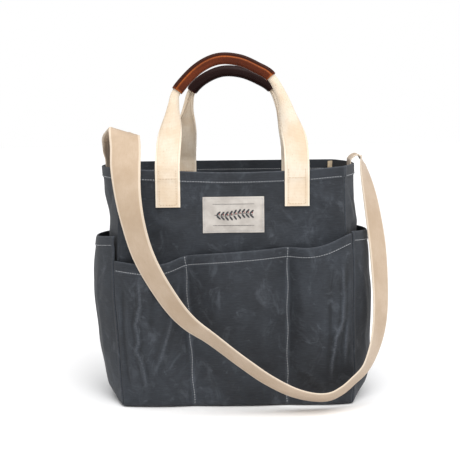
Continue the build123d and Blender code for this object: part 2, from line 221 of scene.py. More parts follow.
def cloth_shell(name, outer, inner, cloth, wear_and_painted_light, material):
    """A closed sheet between an outer and an inner grid of points."""
    rows, columns = outer.shape[:2]
    count = rows * columns
    front = grid_quads(rows, columns)
    index = np.arange(count).reshape(rows, columns)
    rim = np.concatenate([index[0, :], index[1:, -1], index[-1, -2::-1], index[-2:0:-1, 0]])
    after = np.roll(rim, -1)
    sides = np.stack([rim, after, after + count, rim + count], axis=-1)
    faces = np.concatenate([front, front[:, ::-1] + count, sides])
    vertices = np.concatenate([outer.reshape(-1, 3), inner.reshape(-1, 3)])
    cloth, wear_and_painted_light = np.tile(cloth.reshape(-1, 3), (2, 1)), np.tile(wear_and_painted_light.ravel(), 2)
    return closed_mesh(name, vertices.tolist(), faces.tolist(), material, cloth, wear_and_painted_light)


def tube_mesh(name, rings, cloth, wear_and_painted_light, material):
    """A closed solid through rings of points, with a cap at each end."""
    rows, columns = rings.shape[:2]
    faces = grid_quads(rows, columns, around=True).tolist()
    faces += [list(range(columns)), list(range((rows - 1) * columns, rows * columns))]
    return closed_mesh(name, rings.reshape(-1, 3).tolist(), faces, material, cloth, wear_and_painted_light)


def unit(vectors):
    return vectors / np.maximum(np.linalg.norm(vectors, axis=-1, keepdims=True), 1e-12)


def path_lengths(points):
    gaps = np.linalg.norm(np.diff(points, axis=0), axis=1)
    return np.concatenate([[0], np.cumsum(gaps)])


def points_at(places, lengths, points):
    """Points on a line at the given lengths along it."""
    return np.stack([np.interp(places, lengths, column) for column in points.T], axis=-1)


STITCH_RINGS = ((-0.5, 0.35), (-0.3, 1), (0.3, 1), (0.5, 0.35))  # share of length, share of radius
STITCH_SIDES = 5


def stitch_row(points, normals, pitch=3.4 * MM, radius=0.42 * MM, share=0.66, flat=1.0):
    """Vertices and faces of a row of stitches along a line that lies on cloth."""
    points, normals = np.asarray(points, float), np.asarray(normals, float)
    lengths = path_lengths(points)
    count = max(int(lengths[-1] / pitch), 1)
    middles = (np.arange(count) + 0.5) * lengths[-1] / count
    centre = points_at(middles, lengths, points)
    up = unit(points_at(middles, lengths, normals))
    ahead, behind = (points_at(middles + shift, lengths, points) for shift in (1e-4, -1e-4))
    along = unit(ahead - behind)
    across = unit(np.cross(up, along))
    up = np.cross(along, across)
    vertices = []
    for place, size in STITCH_RINGS:
        for side in range(STITCH_SIDES):
            turn = 2 * pi * side / STITCH_SIDES
            vertices.append(
                centre
                + along * place * share * pitch
                + across * cos(turn) * radius * size
                + up * (sin(turn) * radius * size + radius * 0.35) * flat
            )
    vertices = np.stack(vertices, axis=1).reshape(-1, 3)
    rings = grid_quads(len(STITCH_RINGS), STITCH_SIDES, around=True)
    per_stitch = len(STITCH_RINGS) * STITCH_SIDES
    starts = np.arange(count) * per_stitch
    faces = (rings[None] + starts[:, None, None]).reshape(-1, 4).tolist()
    for start in starts:
        faces.append([int(start) + k for k in range(STITCH_SIDES)][::-1])
        faces.append([int(start) + per_stitch - STITCH_SIDES + k for k in range(STITCH_SIDES)])
    return vertices, faces


def stitching(name, rows, material, **sizes):
    """One piece of thread from several rows. Each row is (points, normals)."""
    vertices, faces = [], []
    for points, normals in rows:
        more_vertices, more_faces = stitch_row(points, normals, **sizes)
        faces += [[k + len(vertices) for k in face] for face in more_faces]
        vertices += more_vertices.tolist()
    return closed_mesh(name, vertices, faces, material)


# ---------------------------------------------------------------- materials


def linear(red, green, blue):
    """A screen colour, 0 to 255, as the shader's colour."""
    return tuple(
        c / 12.92 if c <= 0.04045 else ((c + 0.055) / 1.055) ** 2.4
        for c in (red / 255, green / 255, blue / 255)
    ) + (1.0,)


class Nodes:
    """A small helper to write a material's node tree."""

    def __init__(self, name, **sockets):
        self.material = bpy.data.materials.new(name)
        self.material.use_nodes = True
        self.tree = self.material.node_tree
        self.shader = self.tree.nodes["Principled BSDF"]
        for socket, value in sockets.items():
            self.shader.inputs[socket.replace("_", " ")].default_value = value

    def add(self, kind, values=None, **settings):
        node = self.tree.nodes.new("ShaderNode" + kind)
        for key, value in settings.items():
            setattr(node, key, value)
        for key, value in (values or {}).items():
            if isinstance(value, bpy.types.NodeSocket):
                self.tree.links.new(value, node.inputs[key])
            else:
                node.inputs[key].default_value = value
        return node

    def attribute(self, name, output="Vector"):
        return self.add("Attribute", attribute_name=name).outputs[output]

    def noise(self, vector, scale, detail=3.0, roughness=0.55, distortion=0.0):
        values = {
            "Vector": vector, "Scale": scale, "Detail": detail, "Roughness": roughness,
            "Distortion": distortion,
        }
        return self.add("TexNoise", values).outputs["Fac"]

    def scaled(self, vector, sizes):
        return self.add("Mapping", {"Vector": vector, "Scale": sizes}).outputs["Vector"]

    def wave(self, vector, length, direction, distortion=0.0):
        """Bands that repeat each length of metres."""
        values = {
            "Vector": vector, "Scale": 2 * pi / (20 * length), "Distortion": distortion,
            "Detail": 1.0, "Detail Scale": 2.0,
        }
        return self.add("TexWave", values, bands_direction=direction).outputs["Fac"]

    def math(self, operation, a, b=0.5):
        return self.add("Math", {0: a, 1: b}, operation=operation).outputs[0]

    def ramp(self, value, low, high, to_low=0.0, to_high=1.0):
        values = {"Value": value, 1: low, 2: high, 3: to_low, 4: to_high}
        return self.add("MapRange", values, interpolation_type="SMOOTHSTEP").outputs[0]

    def mix(self, factor, a, b):
        """A mix of two colours. A Mix node's sockets 0, 6, 7 and output 2 are the ones for colours."""
        return self.add("Mix", {0: factor, 6: a, 7: b}, data_type="RGBA").outputs[2]

    def finish(self, colour, roughness=None, bumps=()):
        """bumps is (height, strength, distance) from the coarse to the fine."""
        self.tree.links.new(colour, self.shader.inputs["Base Color"])
        if roughness is not None:
            self.tree.links.new(roughness, self.shader.inputs["Roughness"])
        normal = None
        for height, strength, distance in bumps:
            values = {"Height": height, "Strength": strength, "Distance": distance}
            if normal is not None:
                values["Normal"] = normal
            normal = self.add("Bump", values).outputs["Normal"]
        if normal is not None:
            self.tree.links.new(normal, self.shader.inputs["Normal"])
        return self.material


def weave_height(nodes, cloth, warp, weft):
    """A plain weave: warp and weft threads that pass over each other."""
    up = nodes.wave(cloth, warp, "X", 0.6)
    over = nodes.wave(cloth, weft, "Y", 0.6)
    return nodes.math("MULTIPLY", nodes.math("ADD", up, over), 0.5)


def canvas_material(name, ground, shade, chalk):
    """Waxed canvas: painted shade in its hollows, hazy in patches and chalky where the wax has rubbed off.
    """
    nodes = Nodes(name, Roughness=0.78, Specular_IOR_Level=0.32, Sheen_Weight=0.05, Sheen_Roughness=0.5)
    cloth = nodes.attribute("cloth")
    worn_and_painted_light = nodes.attribute("wear_and_painted_light", "Fac")
    broad = nodes.noise(cloth, 14, 4, 0.6, 0.4)
    slubs = nodes.noise(nodes.scaled(cloth, (90, 900, 1)), 1.0, 3)
    mottle = nodes.noise(cloth, 48, 6, 0.75, 0.8)
    marks = nodes.noise(nodes.scaled(cloth, (1, 1.3, 1)), 48, 5, 0.66, 0.7)
    rubbed = nodes.noise(nodes.scaled(cloth, (260, 700, 1)), 1.0, 4, 0.7)
    colour = nodes.mix(nodes.ramp(broad, 0.3, 0.72), shade, ground)
    colour = nodes.mix(nodes.ramp(mottle, 0.34, 0.62, 0.45, 0.0), colour, shade)
    colour = nodes.mix(nodes.ramp(slubs, 0.35, 0.75, 0.0, 0.09), colour, chalk)
    # painted shade: the hollows between folds are darkened towards near black
    colour = nodes.mix(nodes.ramp(worn_and_painted_light, -0.6, 0.0, 0.9, 0.0), colour, linear(17, 19, 22))
    patches = nodes.noise(nodes.scaled(cloth, (1.6, 1, 1)), 21, 5, 0.68, 1.0)
    colour = nodes.mix(nodes.ramp(patches, 0.5, 0.78, 0.0, 0.34), colour, chalk)
    scuffs = nodes.ramp(marks, 0.56, 0.8, 0.0, 0.42)
    ridge = nodes.ramp(worn_and_painted_light, 0.04, 1.0)
    edge = nodes.math("MULTIPLY", ridge, nodes.ramp(rubbed, 0.38, 0.66, 0.2, 1.0))
    colour = nodes.mix(nodes.math("MAXIMUM", scuffs, edge), colour, chalk)
    roughness = nodes.ramp(broad, 0.3, 0.7, 0.66, 0.84)
    weave = weave_height(nodes, cloth, 0.95 * MM, 0.8 * MM)
    return nodes.finish(
        colour, roughness, ((mottle, 0.3, 0.8 * MM), (slubs, 0.12, 0.12 * MM), (weave, 0.4, 0.12 * MM))
    )


def webbing_material(name, ground, shade, half_width, rib):
    """Cotton webbing: a ribbed weave along it, and a denser selvedge at each edge, painted lighter as a
    highlight, with painted shade in the groove beside it.
    """
    nodes = Nodes(name, Roughness=0.82, Sheen_Weight=0.25, Sheen_Roughness=0.4)
    cloth = nodes.attribute("cloth")
    across = nodes.add("SeparateXYZ", {"Vector": cloth}).outputs["X"]
    off_middle = nodes.math("ABSOLUTE", across)
    selvedge_highlight = nodes.ramp(off_middle, half_width - 3.2 * MM, half_width - 2.2 * MM)
    groove = nodes.math(
        "MULTIPLY",
        nodes.ramp(off_middle, half_width - 3.6 * MM, half_width - 2.8 * MM),
        nodes.ramp(off_middle, half_width - 2.8 * MM, half_width - 2.0 * MM, 1.0, 0.0),
    )
    broad = nodes.noise(cloth, 22, 4, 0.6)
    yarn = nodes.noise(nodes.scaled(cloth, (700, 110, 1)), 1.0, 3)
    fleck = nodes.noise(cloth, 420, 2, 0.6)
    ribs = nodes.wave(cloth, rib, "Y", 0.8)
    threads = nodes.wave(cloth, 1.15 * MM, "X", 0.8)
    colour = nodes.mix(nodes.ramp(broad, 0.3, 0.7), shade, ground)
    colour = nodes.mix(nodes.ramp(yarn, 0.4, 0.75, 0.0, 0.35), colour, shade)
    colour = nodes.mix(nodes.ramp(fleck, 0.62, 0.75, 0.0, 0.5), colour, linear(176, 146, 116))
    # painted shade: the groove beside each selvedge is darkened
    colour = nodes.mix(nodes.math("MULTIPLY", groove, 0.45), colour, linear(186, 158, 128))
    # painted highlight: each selvedge is lightened
    colour = nodes.mix(nodes.math("MULTIPLY", selvedge_highlight, 0.35), colour, linear(255, 246, 230))
    dark_ribs = nodes.ramp(nodes.math("MULTIPLY", ribs, threads), 0.0, 0.35, 0.16, 0.0)
    colour = nodes.mix(dark_ribs, colour, linear(150, 122, 96))
    roughness = nodes.ramp(yarn, 0.3, 0.7, 0.76, 0.9)
    weave = nodes.math("MULTIPLY", nodes.math("ADD", ribs, threads), 0.5)
    return nodes.finish(
        colour, roughness, ((groove, -0.5, 0.4 * MM), (yarn, 0.3, 0.2 * MM), (weave, 0.55, 0.22 * MM))
    )


def tape_material():
    """Cotton twill tape."""
    nodes = Nodes("seam_tape", Roughness=0.85, Sheen_Weight=0.2)
    cloth = nodes.attribute("cloth")
    twill = nodes.wave(cloth, 1.1 * MM, "DIAGONAL", 0.4)
    broad = nodes.noise(cloth, 60, 3)
    colour = nodes.mix(nodes.ramp(broad, 0.3, 0.7), linear(196, 174, 142), linear(226, 206, 174))
    colour = nodes.mix(nodes.ramp(twill, 0.2, 0.8, 0.25, 0.0), colour, linear(150, 126, 98))
    return nodes.finish(colour, nodes.ramp(broad, 0.3, 0.7, 0.8, 0.92), ((twill, 0.4, 0.15 * MM),))


def leather_material(name, dark, warm, painted_light):
    """Oiled pull-up leather, darker in its grain. On a grip the attribute paints light: painted shade where
    it is low, a warmer lit facet where it is higher, and a streaked painted highlight near its top, which
    also lightens the cut ends.
    """
    nodes = Nodes(name, Roughness=0.5, Specular_IOR_Level=0.12, Coat_Weight=0.02, Coat_Roughness=0.35)
    cloth = nodes.attribute("cloth")
    worn_and_painted_light = nodes.attribute("wear_and_painted_light", "Fac")
    broad = nodes.noise(nodes.scaled(cloth, (1, 0.3, 1)), 60, 5, 0.6, 0.6)
    streaks = nodes.noise(nodes.scaled(cloth, (420, 35, 1)), 1.0, 4, 0.6, 0.4)
    grain = nodes.add(
        "TexVoronoi", {"Vector": cloth, "Scale": 950.0, "Randomness": 1.0}, feature="SMOOTH_F1"
    ).outputs["Distance"]
    pores = nodes.noise(cloth, 1900, 2)
    # painted light: the facet the attribute marks is lit warm, the rest stays in painted shade
    lit_facet = nodes.ramp(worn_and_painted_light, 0.0, 0.4, 0.12, 1.0)
    lit_facet = nodes.math("MULTIPLY", lit_facet, nodes.ramp(broad, 0.3, 0.7, 0.45, 1.0))
    colour = nodes.mix(lit_facet, dark, warm)
    # painted highlight, and the lighter cut ends of the sleeve
    highlight_and_cut_ends = nodes.math("MULTIPLY", nodes.ramp(worn_and_painted_light, 0.5, 1.0), nodes.ramp(streaks, 0.25, 0.7, 0.35, 1.0))
    colour = nodes.mix(highlight_and_cut_ends, colour, painted_light)
    colour = nodes.mix(nodes.ramp(grain, 0.25, 0.6, 0.0, 0.3), colour, dark)
    roughness = nodes.ramp(streaks, 0.3, 0.75, 0.4, 0.6)
    return nodes.finish(
        colour, roughness, ((streaks, 0.25, 0.3 * MM), (grain, 0.35, 0.18 * MM), (pores, 0.2, 0.05 * MM))
    )


def label_material():
    """A fine satin weave, a little uneven in tone."""
    nodes = Nodes("woven_label", Roughness=0.7, Sheen_Weight=0.15)
    cloth = nodes.attribute("cloth")
    weft = nodes.wave(cloth, 0.55 * MM, "Y", 0.3)
    warp = nodes.wave(cloth, 0.7 * MM, "X", 0.3)
    broad = nodes.noise(cloth, 70, 4)
    colour = nodes.mix(nodes.ramp(broad, 0.3, 0.7), linear(174, 167, 160), linear(194, 188, 181))
    colour = nodes.mix(nodes.ramp(weft, 0.0, 0.6, 0.14, 0.0), colour, linear(150, 142, 134))
    height = nodes.math("ADD", weft, warp)
    return nodes.finish(colour, nodes.ramp(broad, 0.3, 0.7, 0.62, 0.78), ((height, 0.3, 0.1 * MM),))


def thread_material(name, light, dark):
    nodes = Nodes(name, Roughness=0.6, Sheen_Weight=0.2)
    place = nodes.add("TexCoord").outputs["Object"]
    fuzz = nodes.noise(place, 900, 3)
    twist = nodes.wave(place, 0.45 * MM, "DIAGONAL", 0.5)
    colour = nodes.mix(nodes.ramp(fuzz, 0.35, 0.65), dark, light)
    return nodes.finish(colour, nodes.ramp(fuzz, 0.3, 0.7, 0.55, 0.75), ((twist, 0.4, 0.1 * MM),))


def floor_material():
    nodes = Nodes("pale_floor", Roughness=0.9, Specular_IOR_Level=0.1)
    place = nodes.add("TexCoord").outputs["Object"]
    cloud = nodes.noise(place, 1.2, 2)
    colour = nodes.mix(nodes.ramp(cloud, 0.3, 0.7), linear(249, 249, 250), linear(251, 251, 251))
    return nodes.finish(colour)


CANVAS = canvas_material(
    "waxed_canvas", linear(50, 54, 60), linear(31, 34, 39), linear(98, 103, 111)
)
HANDLE_COTTON = webbing_material(
    "handle_webbing", linear(233, 221, 203), linear(219, 197, 169), WEBBING_WIDTH / 2, 1.9 * MM
)
STRAP_COTTON = webbing_material(
    "strap_webbing", linear(197, 176, 153), linear(183, 160, 135), STRAP_WIDTH / 2, 1.25 * MM
)
TAPE = tape_material()
FRONT_LEATHER = leather_material(
    "front_leather", linear(44, 17, 8), linear(108, 46, 18), linear(176, 92, 34)
)
# The same leather as the front grip's, painted darker as shade on the rear grip
SHADED_REAR_LEATHER = leather_material(
    "rear_leather", linear(28, 11, 9), linear(62, 25, 19), linear(104, 46, 33)
)
WOVEN_LABEL = label_material()
PALE_THREAD = thread_material("pale_thread", linear(176, 178, 180), linear(140, 143, 147))
# cream thread drawn darker: the darkening is painted shade of the stitch holes
SHADED_CREAM_THREAD = thread_material("shaded_cream_thread", linear(212, 188, 156), linear(170, 144, 114))
DARK_THREAD = thread_material("dark_thread", linear(52, 54, 58), linear(34, 35, 38))
RED_THREAD = thread_material("red_thread", linear(168, 52, 48), linear(132, 38, 36))


# ---------------------------------------------------------------- walls

SEAM_INSET = (1 + sqrt(2)) * ROLL  # from a corner to where a panel starts to turn in


def columns_with_rolls(flat_count):
    """Places across a panel, -1 to 1, and how far each has turned in to the corner seam."""
    turns = np.radians(np.linspace(135, 0, 9))
    across = np.concatenate([np.full(8, -1.0), np.linspace(-1, 1, flat_count), np.full(8, 1.0)])
    angle = np.concatenate([turns[:-1], np.zeros(flat_count), turns[::-1][1:]])
    return across, angle


def wall_rows(foot, top, hem):
    """Heights from a panel's foot to its top edge, closer together where it rolls or is hemmed."""
    rolled = foot + FOOT_ROLL * (1 - np.cos(np.radians(np.linspace(0, 90, 6))))
    plain = np.arange(rolled[-1] + 2.5 * MM, top - hem - 1.5 * MM, 2.8 * MM)
    edge = top - hem + mm(-0.8, 0, 0.5, 1.0, 2.0)
    band = np.linspace(top - hem + 4 * MM, top - 2 * MM, 4)
    lip = top + mm(-1.0, -0.45, -0.12, 0)
    return np.concatenate([rolled, plain, edge, band, lip])


def foot_tuck(z, foot):
    """How far a panel has turned in at a height near its foot."""
    rise = np.clip(z - foot, 0, FOOT_ROLL)
    return FOOT_ROLL - np.sqrt(np.maximum(FOOT_ROLL**2 - (FOOT_ROLL - rise) ** 2, 0))


def hem_profile(z, top, hem, extra):
    """How far a hem stands out, with a soft upper edge."""
    stand = extra * step(z, top - hem - 0.2 * MM, top - hem + 0.8 * MM)
    return stand - 1.1 * MM * step(z, top - 1.0 * MM, top) ** 2


def gaping(z, stand_off):
    """How far a pocket has opened at a height, 0 to 1. A wall has no stand-off and doesn't open."""
    return step(z, 70 * MM, 200 * MM) * (stand_off > 0)


def face_panel(side, z, across, angle, stand_off, bow):
    """Points of a sheet on the front (side -1) or back (side 1), from corner seam to corner seam."""
    open_by = gaping(z, stand_off)
    left = -HALF_WIDTH - by_height(z, WALL_LEVELS, LEFT_CORNER) - stand_off - GAPE[-1] * open_by
    right = HALF_WIDTH + by_height(z, WALL_LEVELS, RIGHT_CORNER) + stand_off + GAPE[1] * open_by
    half = (right - left) / 2 - SEAM_INSET
    x = (left + right) / 2 + across * half + np.sign(across) * ROLL * np.sin(angle)
    out = HALF_DEPTH + stand_off + bow - ROLL * (1 - np.cos(angle))
    return np.stack([x, side * out, z], axis=-1)


def side_panel(side, z, across, angle, stand_off, bow):
    """Points of a sheet on the left (side -1) or right (side 1) of the bag."""
    table = LEFT_CORNER if side < 0 else RIGHT_CORNER
    gape = gaping(z, stand_off) * GAPE[side]
    half = HALF_DEPTH + stand_off - SEAM_INSET
    y = across * half + np.sign(across) * ROLL * np.sin(angle)
    bow = np.maximum(bow - gape, 0) + gape
    out = HALF_WIDTH + by_height(z, WALL_LEVELS, table) + stand_off + bow - ROLL * (1 - np.cos(angle))
    return np.stack([side * out, y, z], axis=-1)


def level_normals(points, side_axis, side):
    """Level unit vectors out of a sheet whose columns run round the bag."""
    along = np.gradient(points, axis=1)
    level = unit(np.cross(along, np.array([0.0, 0.0, 1.0])))
    middle = level[:, level.shape[1] // 2, side_axis].mean()
    return level if middle * side > 0 else -level


SHARP_BEND = 150  # per metre: a fold that is bent this sharply is rubbed bare


def ridge_wear_and_hollow_shade(height, spacing):
    """1 on sharp ridges, 0 in the flat and -0.6 in hollows, where it stands for painted shade, from the
    height of the folds on a grid.
    """
    bend = -sum(np.gradient(np.gradient(height, axis=axis), axis=axis) for axis in (0, 1))
    return np.clip(bend / spacing**2 / SHARP_BEND, -0.6, 1)


PANEL_FOLDS = (
    (((38, 276), (51, 255), (88, 238)), 7, -1.3),
    (((111, 287), (133, 268), (146, 245)), 7, 1.4),
    (((-107, 272), (-88, 246), (-72, 224)), 9, 1.3),
    (((-60, 296), (-20, 291), (30, 294), (66, 289)), 9, -0.9),
    (((60, 270), (100, 262), (140, 282)), 8, 1.0),
    (((-140, 262), (-118, 240), (-96, 226)), 8, -1.2),
)


def wall_displacement(flat, side, quiet_below):
    """Lumps of a worn wall: none at its seams, and only inwards behind a pocket."""
    x, z = flat[..., 0], flat[..., 1]
    lumps = 1.5 * MM * undulation(flat, 0.085, 11 + side) + 0.5 * MM * undulation(flat, 0.03, 21 + side)
    if side == -1:
        lumps = lumps + fold_lines(flat, PANEL_FOLDS)
    for leg in FRONT_ARCH if side < 0 else REAR_ARCH:
        near = np.abs(x - leg[0] * MM)
        if leg[1] < 1:
            sewn_flat = (1 - step(near, 16 * MM, 30 * MM)) * step(z, 245 * MM, 262 * MM)
            lumps = lumps * (1 - 0.9 * sewn_flat)
    calm = step(HALF_WIDTH - np.abs(x), 4 * MM, 30 * MM)
    lumps = lumps * calm * (1 - 0.8 * step(z, HEIGHT - 40 * MM, HEIGHT - 12 * MM))
    behind = step(z, quiet_below - 10 * MM, quiet_below + 8 * MM)
    return lumps * behind + np.minimum(lumps, 0) * (1 - behind) * 0.6


def front_wall_bow(z, across):
    return by_height(z, WALL_LEVELS, FRONT_BOW) * (1 - across**2)


def wall_edge_wear(z, top, hem, angle):
    """Chalky lines where the wax has rubbed off: a hem's two edges and the corner seams."""
    lip = hump(z, top, 1.6 * MM)
    hem_edge = 0.55 * hump(z, top - hem + 0.9 * MM, 1.1 * MM)
    seam = 0.35 * hump(angle, radians(70), 0.5)
    return np.maximum(np.maximum(lip * 0.5, hem_edge), seam)


def wear_and_hollow_shade(edges, folds):
    """Rubbed edges and rubbed folds together. A hollow between folds keeps its painted shade where no edge
    is rubbed.
    """
    return np.where(edges > 0.08, np.maximum(edges, folds), folds + edges)


def hung_sheet(name, points, normals, thickness, wear_and_painted_light):
    """A cloth shell whose outer face is the given grid, and whose cloth runs along its rows."""
    inner = points - normals * thickness[..., None]
    along = np.cumsum(np.linalg.norm(np.diff(points, axis=1, prepend=points[:, :1]), axis=-1), axis=1)
    along -= along[:, along.shape[1] // 2][:, None]
    cloth = np.stack([along, points[..., 2], np.zeros_like(along)], axis=-1)
    return cloth_shell(name, points, inner, cloth, wear_and_painted_light, CANVAS)


def top_sag(side, x, z):
    """How far the upper part of a face wall hangs below its nominal height."""
    if side > 0:
        return 0 * x
    return by_height(x, FRONT_SAG_X, FRONT_SAG) * step(z, HEIGHT - 80 * MM, HEIGHT - 22 * MM)


def wall_grid(columns):
    """Shares across, angles of the rolled edges, heights and hem of a wall's grid."""
    across, angle = columns_with_rolls(columns)
    z, across = np.meshgrid(wall_rows(0, HEIGHT, HEM), across, indexing="ij")
    return across, np.broadcast_to(angle, z.shape), z, hem_profile(z, HEIGHT, HEM, HEM_EXTRA)


def make_face_wall(name, side):
    across, angle, z, hem = wall_grid(121)
    points = face_panel(side, z, across, angle, 0, front_wall_bow(z, across))
    flat = points[..., [0, 2]]
    lumps = wall_displacement(flat, side, 212 * MM)
    normals = level_normals(points, 1, side)
    points = points + normals * (lumps + hem)[..., None]
    points[..., 1] -= side * foot_tuck(z, 0)
    points[..., 2] -= top_sag(side, points[..., 0], z)
    wear_and_painted_light = wear_and_hollow_shade(wall_edge_wear(z, HEIGHT, HEM, angle), ridge_wear_and_hollow_shade(lumps, 2.8 * MM) * 0.6)
    piece = hung_sheet(f"{name}_cloth", points, normals, CLOTH + hem, wear_and_painted_light)
    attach(piece, "bag")
    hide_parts(name)
    return points, normals


def make_gusset(name, side, bows):
    across, angle, z, hem = wall_grid(61)
    bow = by_height(z, WALL_LEVELS, bows) * (1 - across**2)
    points = side_panel(side, z, across, angle, 0, bow)
    flat = points[..., 1:]
    lumps = 1.3 * MM * undulation(flat, 0.07, 31 + side) + fold_lines(flat, GUSSET_FOLDS[side])
    near_hem = step(z, HEIGHT - 40 * MM, HEIGHT - 12 * MM)
    lumps = lumps * step(1 - np.abs(across), 0.0, 0.3) * (1 - 0.7 * near_hem)
    behind = step(z, 205 * MM, 232 * MM)
    lumps = lumps * behind + np.minimum(lumps, 0) * (1 - behind) * 0.6
    normals = level_normals(points, 0, side)
    points = points + normals * (lumps + hem)[..., None]
    points[..., 0] -= side * foot_tuck(z, 0)
    wear_and_painted_light = wear_and_hollow_shade(wall_edge_wear(z, HEIGHT, HEM, angle), ridge_wear_and_hollow_shade(lumps, 2.5 * MM) * 0.6)
    piece = hung_sheet(f"{name}_cloth", points, normals, CLOTH + hem, wear_and_painted_light)
    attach(piece, "bag")
    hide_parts(name)
    return points, normals


# Side walls fold where the open top draws in: y and z of each line, half width and height
GUSSET_FOLDS = {
    -1: (
        (((-62, 300), (-40, 272), (-10, 250)), 7, -2.0),
        (((50, 302), (34, 270), (6, 248)), 8, -1.8),
        (((-20, 298), (-8, 262), (0, 236)), 9, 1.6),
    ),
    1: (
        (((-60, 292), (-44, 268), (-20, 250)), 6, -2.0),
        (((56, 300), (36, 268), (10, 246)), 8, -1.8),
        (((-64, 262), (-36, 244), (0, 236)), 8, 1.4),
    ),
}


def make_base():
    """The floor of the bag: a slab inside the turned-in feet of the walls, sagging a little."""
    rows, columns = 33, 61
    v, u = np.meshgrid(np.linspace(-1, 1, rows), np.linspace(-1, 1, columns), indexing="ij")
    low = np.full_like(u, WALL_LEVELS[0])
    inset = FOOT_ROLL - 0.4 * MM
    left = -HALF_WIDTH - LEFT_CORNER[0] - LEFT_BOW[0] * (1 - v**2) + inset
    right = HALF_WIDTH + RIGHT_CORNER[0] + RIGHT_BOW[0] * (1 - v**2) - inset
    x = left + (right - left) * (u + 1) / 2
    y = v * (HALF_DEPTH + FRONT_BOW[0] * (1 - u**2) - inset)
    puckers = 0.35 * MM * (1 + undulation(np.stack([x, y], -1), 0.06, 41))
    edge = step(np.maximum(np.abs(u), np.abs(v)), 0.9, 1.0)
    bottom = np.stack([x, y, puckers * (1 - edge) + 0.6 * MM * edge], axis=-1)
    top = bottom + np.array([0, 0, 1]) * (low - 0.2 * MM)[..., None]
    cloth = np.stack([x, y, np.zeros_like(x)], axis=-1)
    piece = cloth_shell("base_panel_cloth", bottom, top, cloth, edge * 0.3, CANVAS)
    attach(piece, "bag")
    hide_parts("base_panel")


# ---------------------------------------------------------------- pockets

FRONT_POCKET_FOLDS = (
    (
        (
            (-121, 186), (-123, 170), (-122, 141), (-128, 116),
            (-125, 92), (-128, 81), (-121, 62), (-113, 16),
        ),
        3.0, 2.6,
    ),
    (((-67, 190), (-72, 160), (-83, 112), (-96, 70), (-112, 34)), 5, 2.2),
    (((-100, 182), (-106, 140), (-110, 96)), 8, -2.6),
    (((-144, 170), (-146, 110), (-142, 50), (-136, 16)), 3.5, -2.2),
    (((142, 207), (145, 150), (143, 116), (133, 94), (128, 60), (128, 24)), 3.0, 2.4),
    (((155, 196), (150, 150), (147, 81), (146, 40)), 3.2, 2.2),
    (((128, 196), (125, 143), (125, 82), (120, 40)), 5, -2.0),
    (((149, 180), (148, 120), (140, 70)), 3, -2.0),
    (((84, 196), (90, 150), (94, 96)), 8, 1.6),
    (((-30, 196), (-22, 150), (-26, 90), (-20, 40)), 9, 1.2),
    (((36, 190), (44, 140), (38, 92), (44, 50)), 10, 1.3),
    (((-48, 60), (-10, 44), (40, 52), (64, 40)), 8, -1.0),
    (((76, 60), (100, 44), (126, 20)), 7, 1.4),
)
BACK_POCKET_FOLDS = (
    (((-120, 190), (-124, 130), (-116, 60)), 6, 2.0),
    (((-84, 180), (-92, 120), (-106, 50)), 7, -1.8),
    (((-20, 186), (-12, 120), (-18, 50)), 8, 1.6),
    (((26, 180), (20, 110), (30, 50)), 9, -1.2),
    (((84, 190), (92, 130), (104, 60)), 7, 2.0),
    (((128, 180), (124, 110), (130, 40)), 6, -1.8),
)
SIDE_POCKET_FOLDS = {
    -1: (
        (((-40, 200), (-36, 150), (-44, 90), (-36, 40)), 6, 2.0),
        (((-12, 190), (-4, 120), (-14, 60)), 8, -1.8),
        (((30, 196), (36, 140), (30, 70)), 7, 1.8),
        (((56, 160), (54, 100), (46, 30)), 6, -1.6),
    ),
    1: (
        (((-50, 196), (-44, 150), (-50, 90), (-42, 30)), 6, 2.0),
        (((-20, 190), (-14, 130), (-22, 60)), 8, -1.8),
        (((16, 196), (22, 130), (14, 70)), 7, 1.6),
        (((48, 180), (52, 120), (44, 50)), 6, -1.6),
    ),
}
POCKET_FOOT = 1 * MM  # height at which the pockets start
STRIP = 5 * MM  # the strip of a pocket that is sewn down at a divider


def pocket_rows(steps=74):
    """Shares of a pocket's height, closer together at its foot and hem."""
    foot = np.linspace(0, 0.03, 6)[:-1]
    return np.concatenate([foot, np.linspace(0.03, 1, steps)])


def pocket_grid(columns):
    """Shares of the height, shares across and angles of the rolled edges of a pocket's grid."""
    across, angle = columns_with_rolls(columns)
    share, across = np.meshgrid(pocket_rows(), across, indexing="ij")
    return share, across, np.broadcast_to(angle, share.shape)


def pocket_edge(z, top):
    """How near the hem a place is, 0 to 1, how far the hem stands out, and how far its lip turns in."""
    near_hem = step(z, top - 26 * MM, top - 10 * MM)
    hem = 1.0 * MM * step(z, top - POCKET_HEM - 0.4 * MM, top - POCKET_HEM + 0.8 * MM)
    return near_hem, hem, 0.9 * MM * step(z, top - 1.1 * MM, top) ** 2


def divider_lines(side, z):
    if side > 0:
        return [np.full_like(z, x) for x in BACK_DIVIDERS]
    share = z / (211 * MM)
    return [low + (high - low) * share for low, high in zip(FRONT_DIVIDERS_FOOT, FRONT_DIVIDERS_TOP)]


def compartment_bow(side, x, z, left_end, right_end):
    """How far a face pocket bows out between its sewn strips, and how near a strip is, 0 to 1."""
    dividers = divider_lines(side, z)
    edges = [left_end, *dividers, right_end]
    tables = (LEFT_COMPARTMENT, MIDDLE_COMPARTMENT, RIGHT_COMPARTMENT)
    if side > 0:
        tables = (MIDDLE_COMPARTMENT,) * 3
    bow = np.zeros_like(x)
    for low, high, table in zip(edges, edges[1:], tables):
        start, end = low + STRIP / 2, high - STRIP / 2
        place = np.clip((2 * x - start - end) / (end - start), -1, 1)
        inside = (x > start) & (x < end)
        bow = np.where(inside, by_height(z, POCKET_LEVELS, table) * (1 - np.abs(place) ** 2.3), bow)
    return bow, dividers


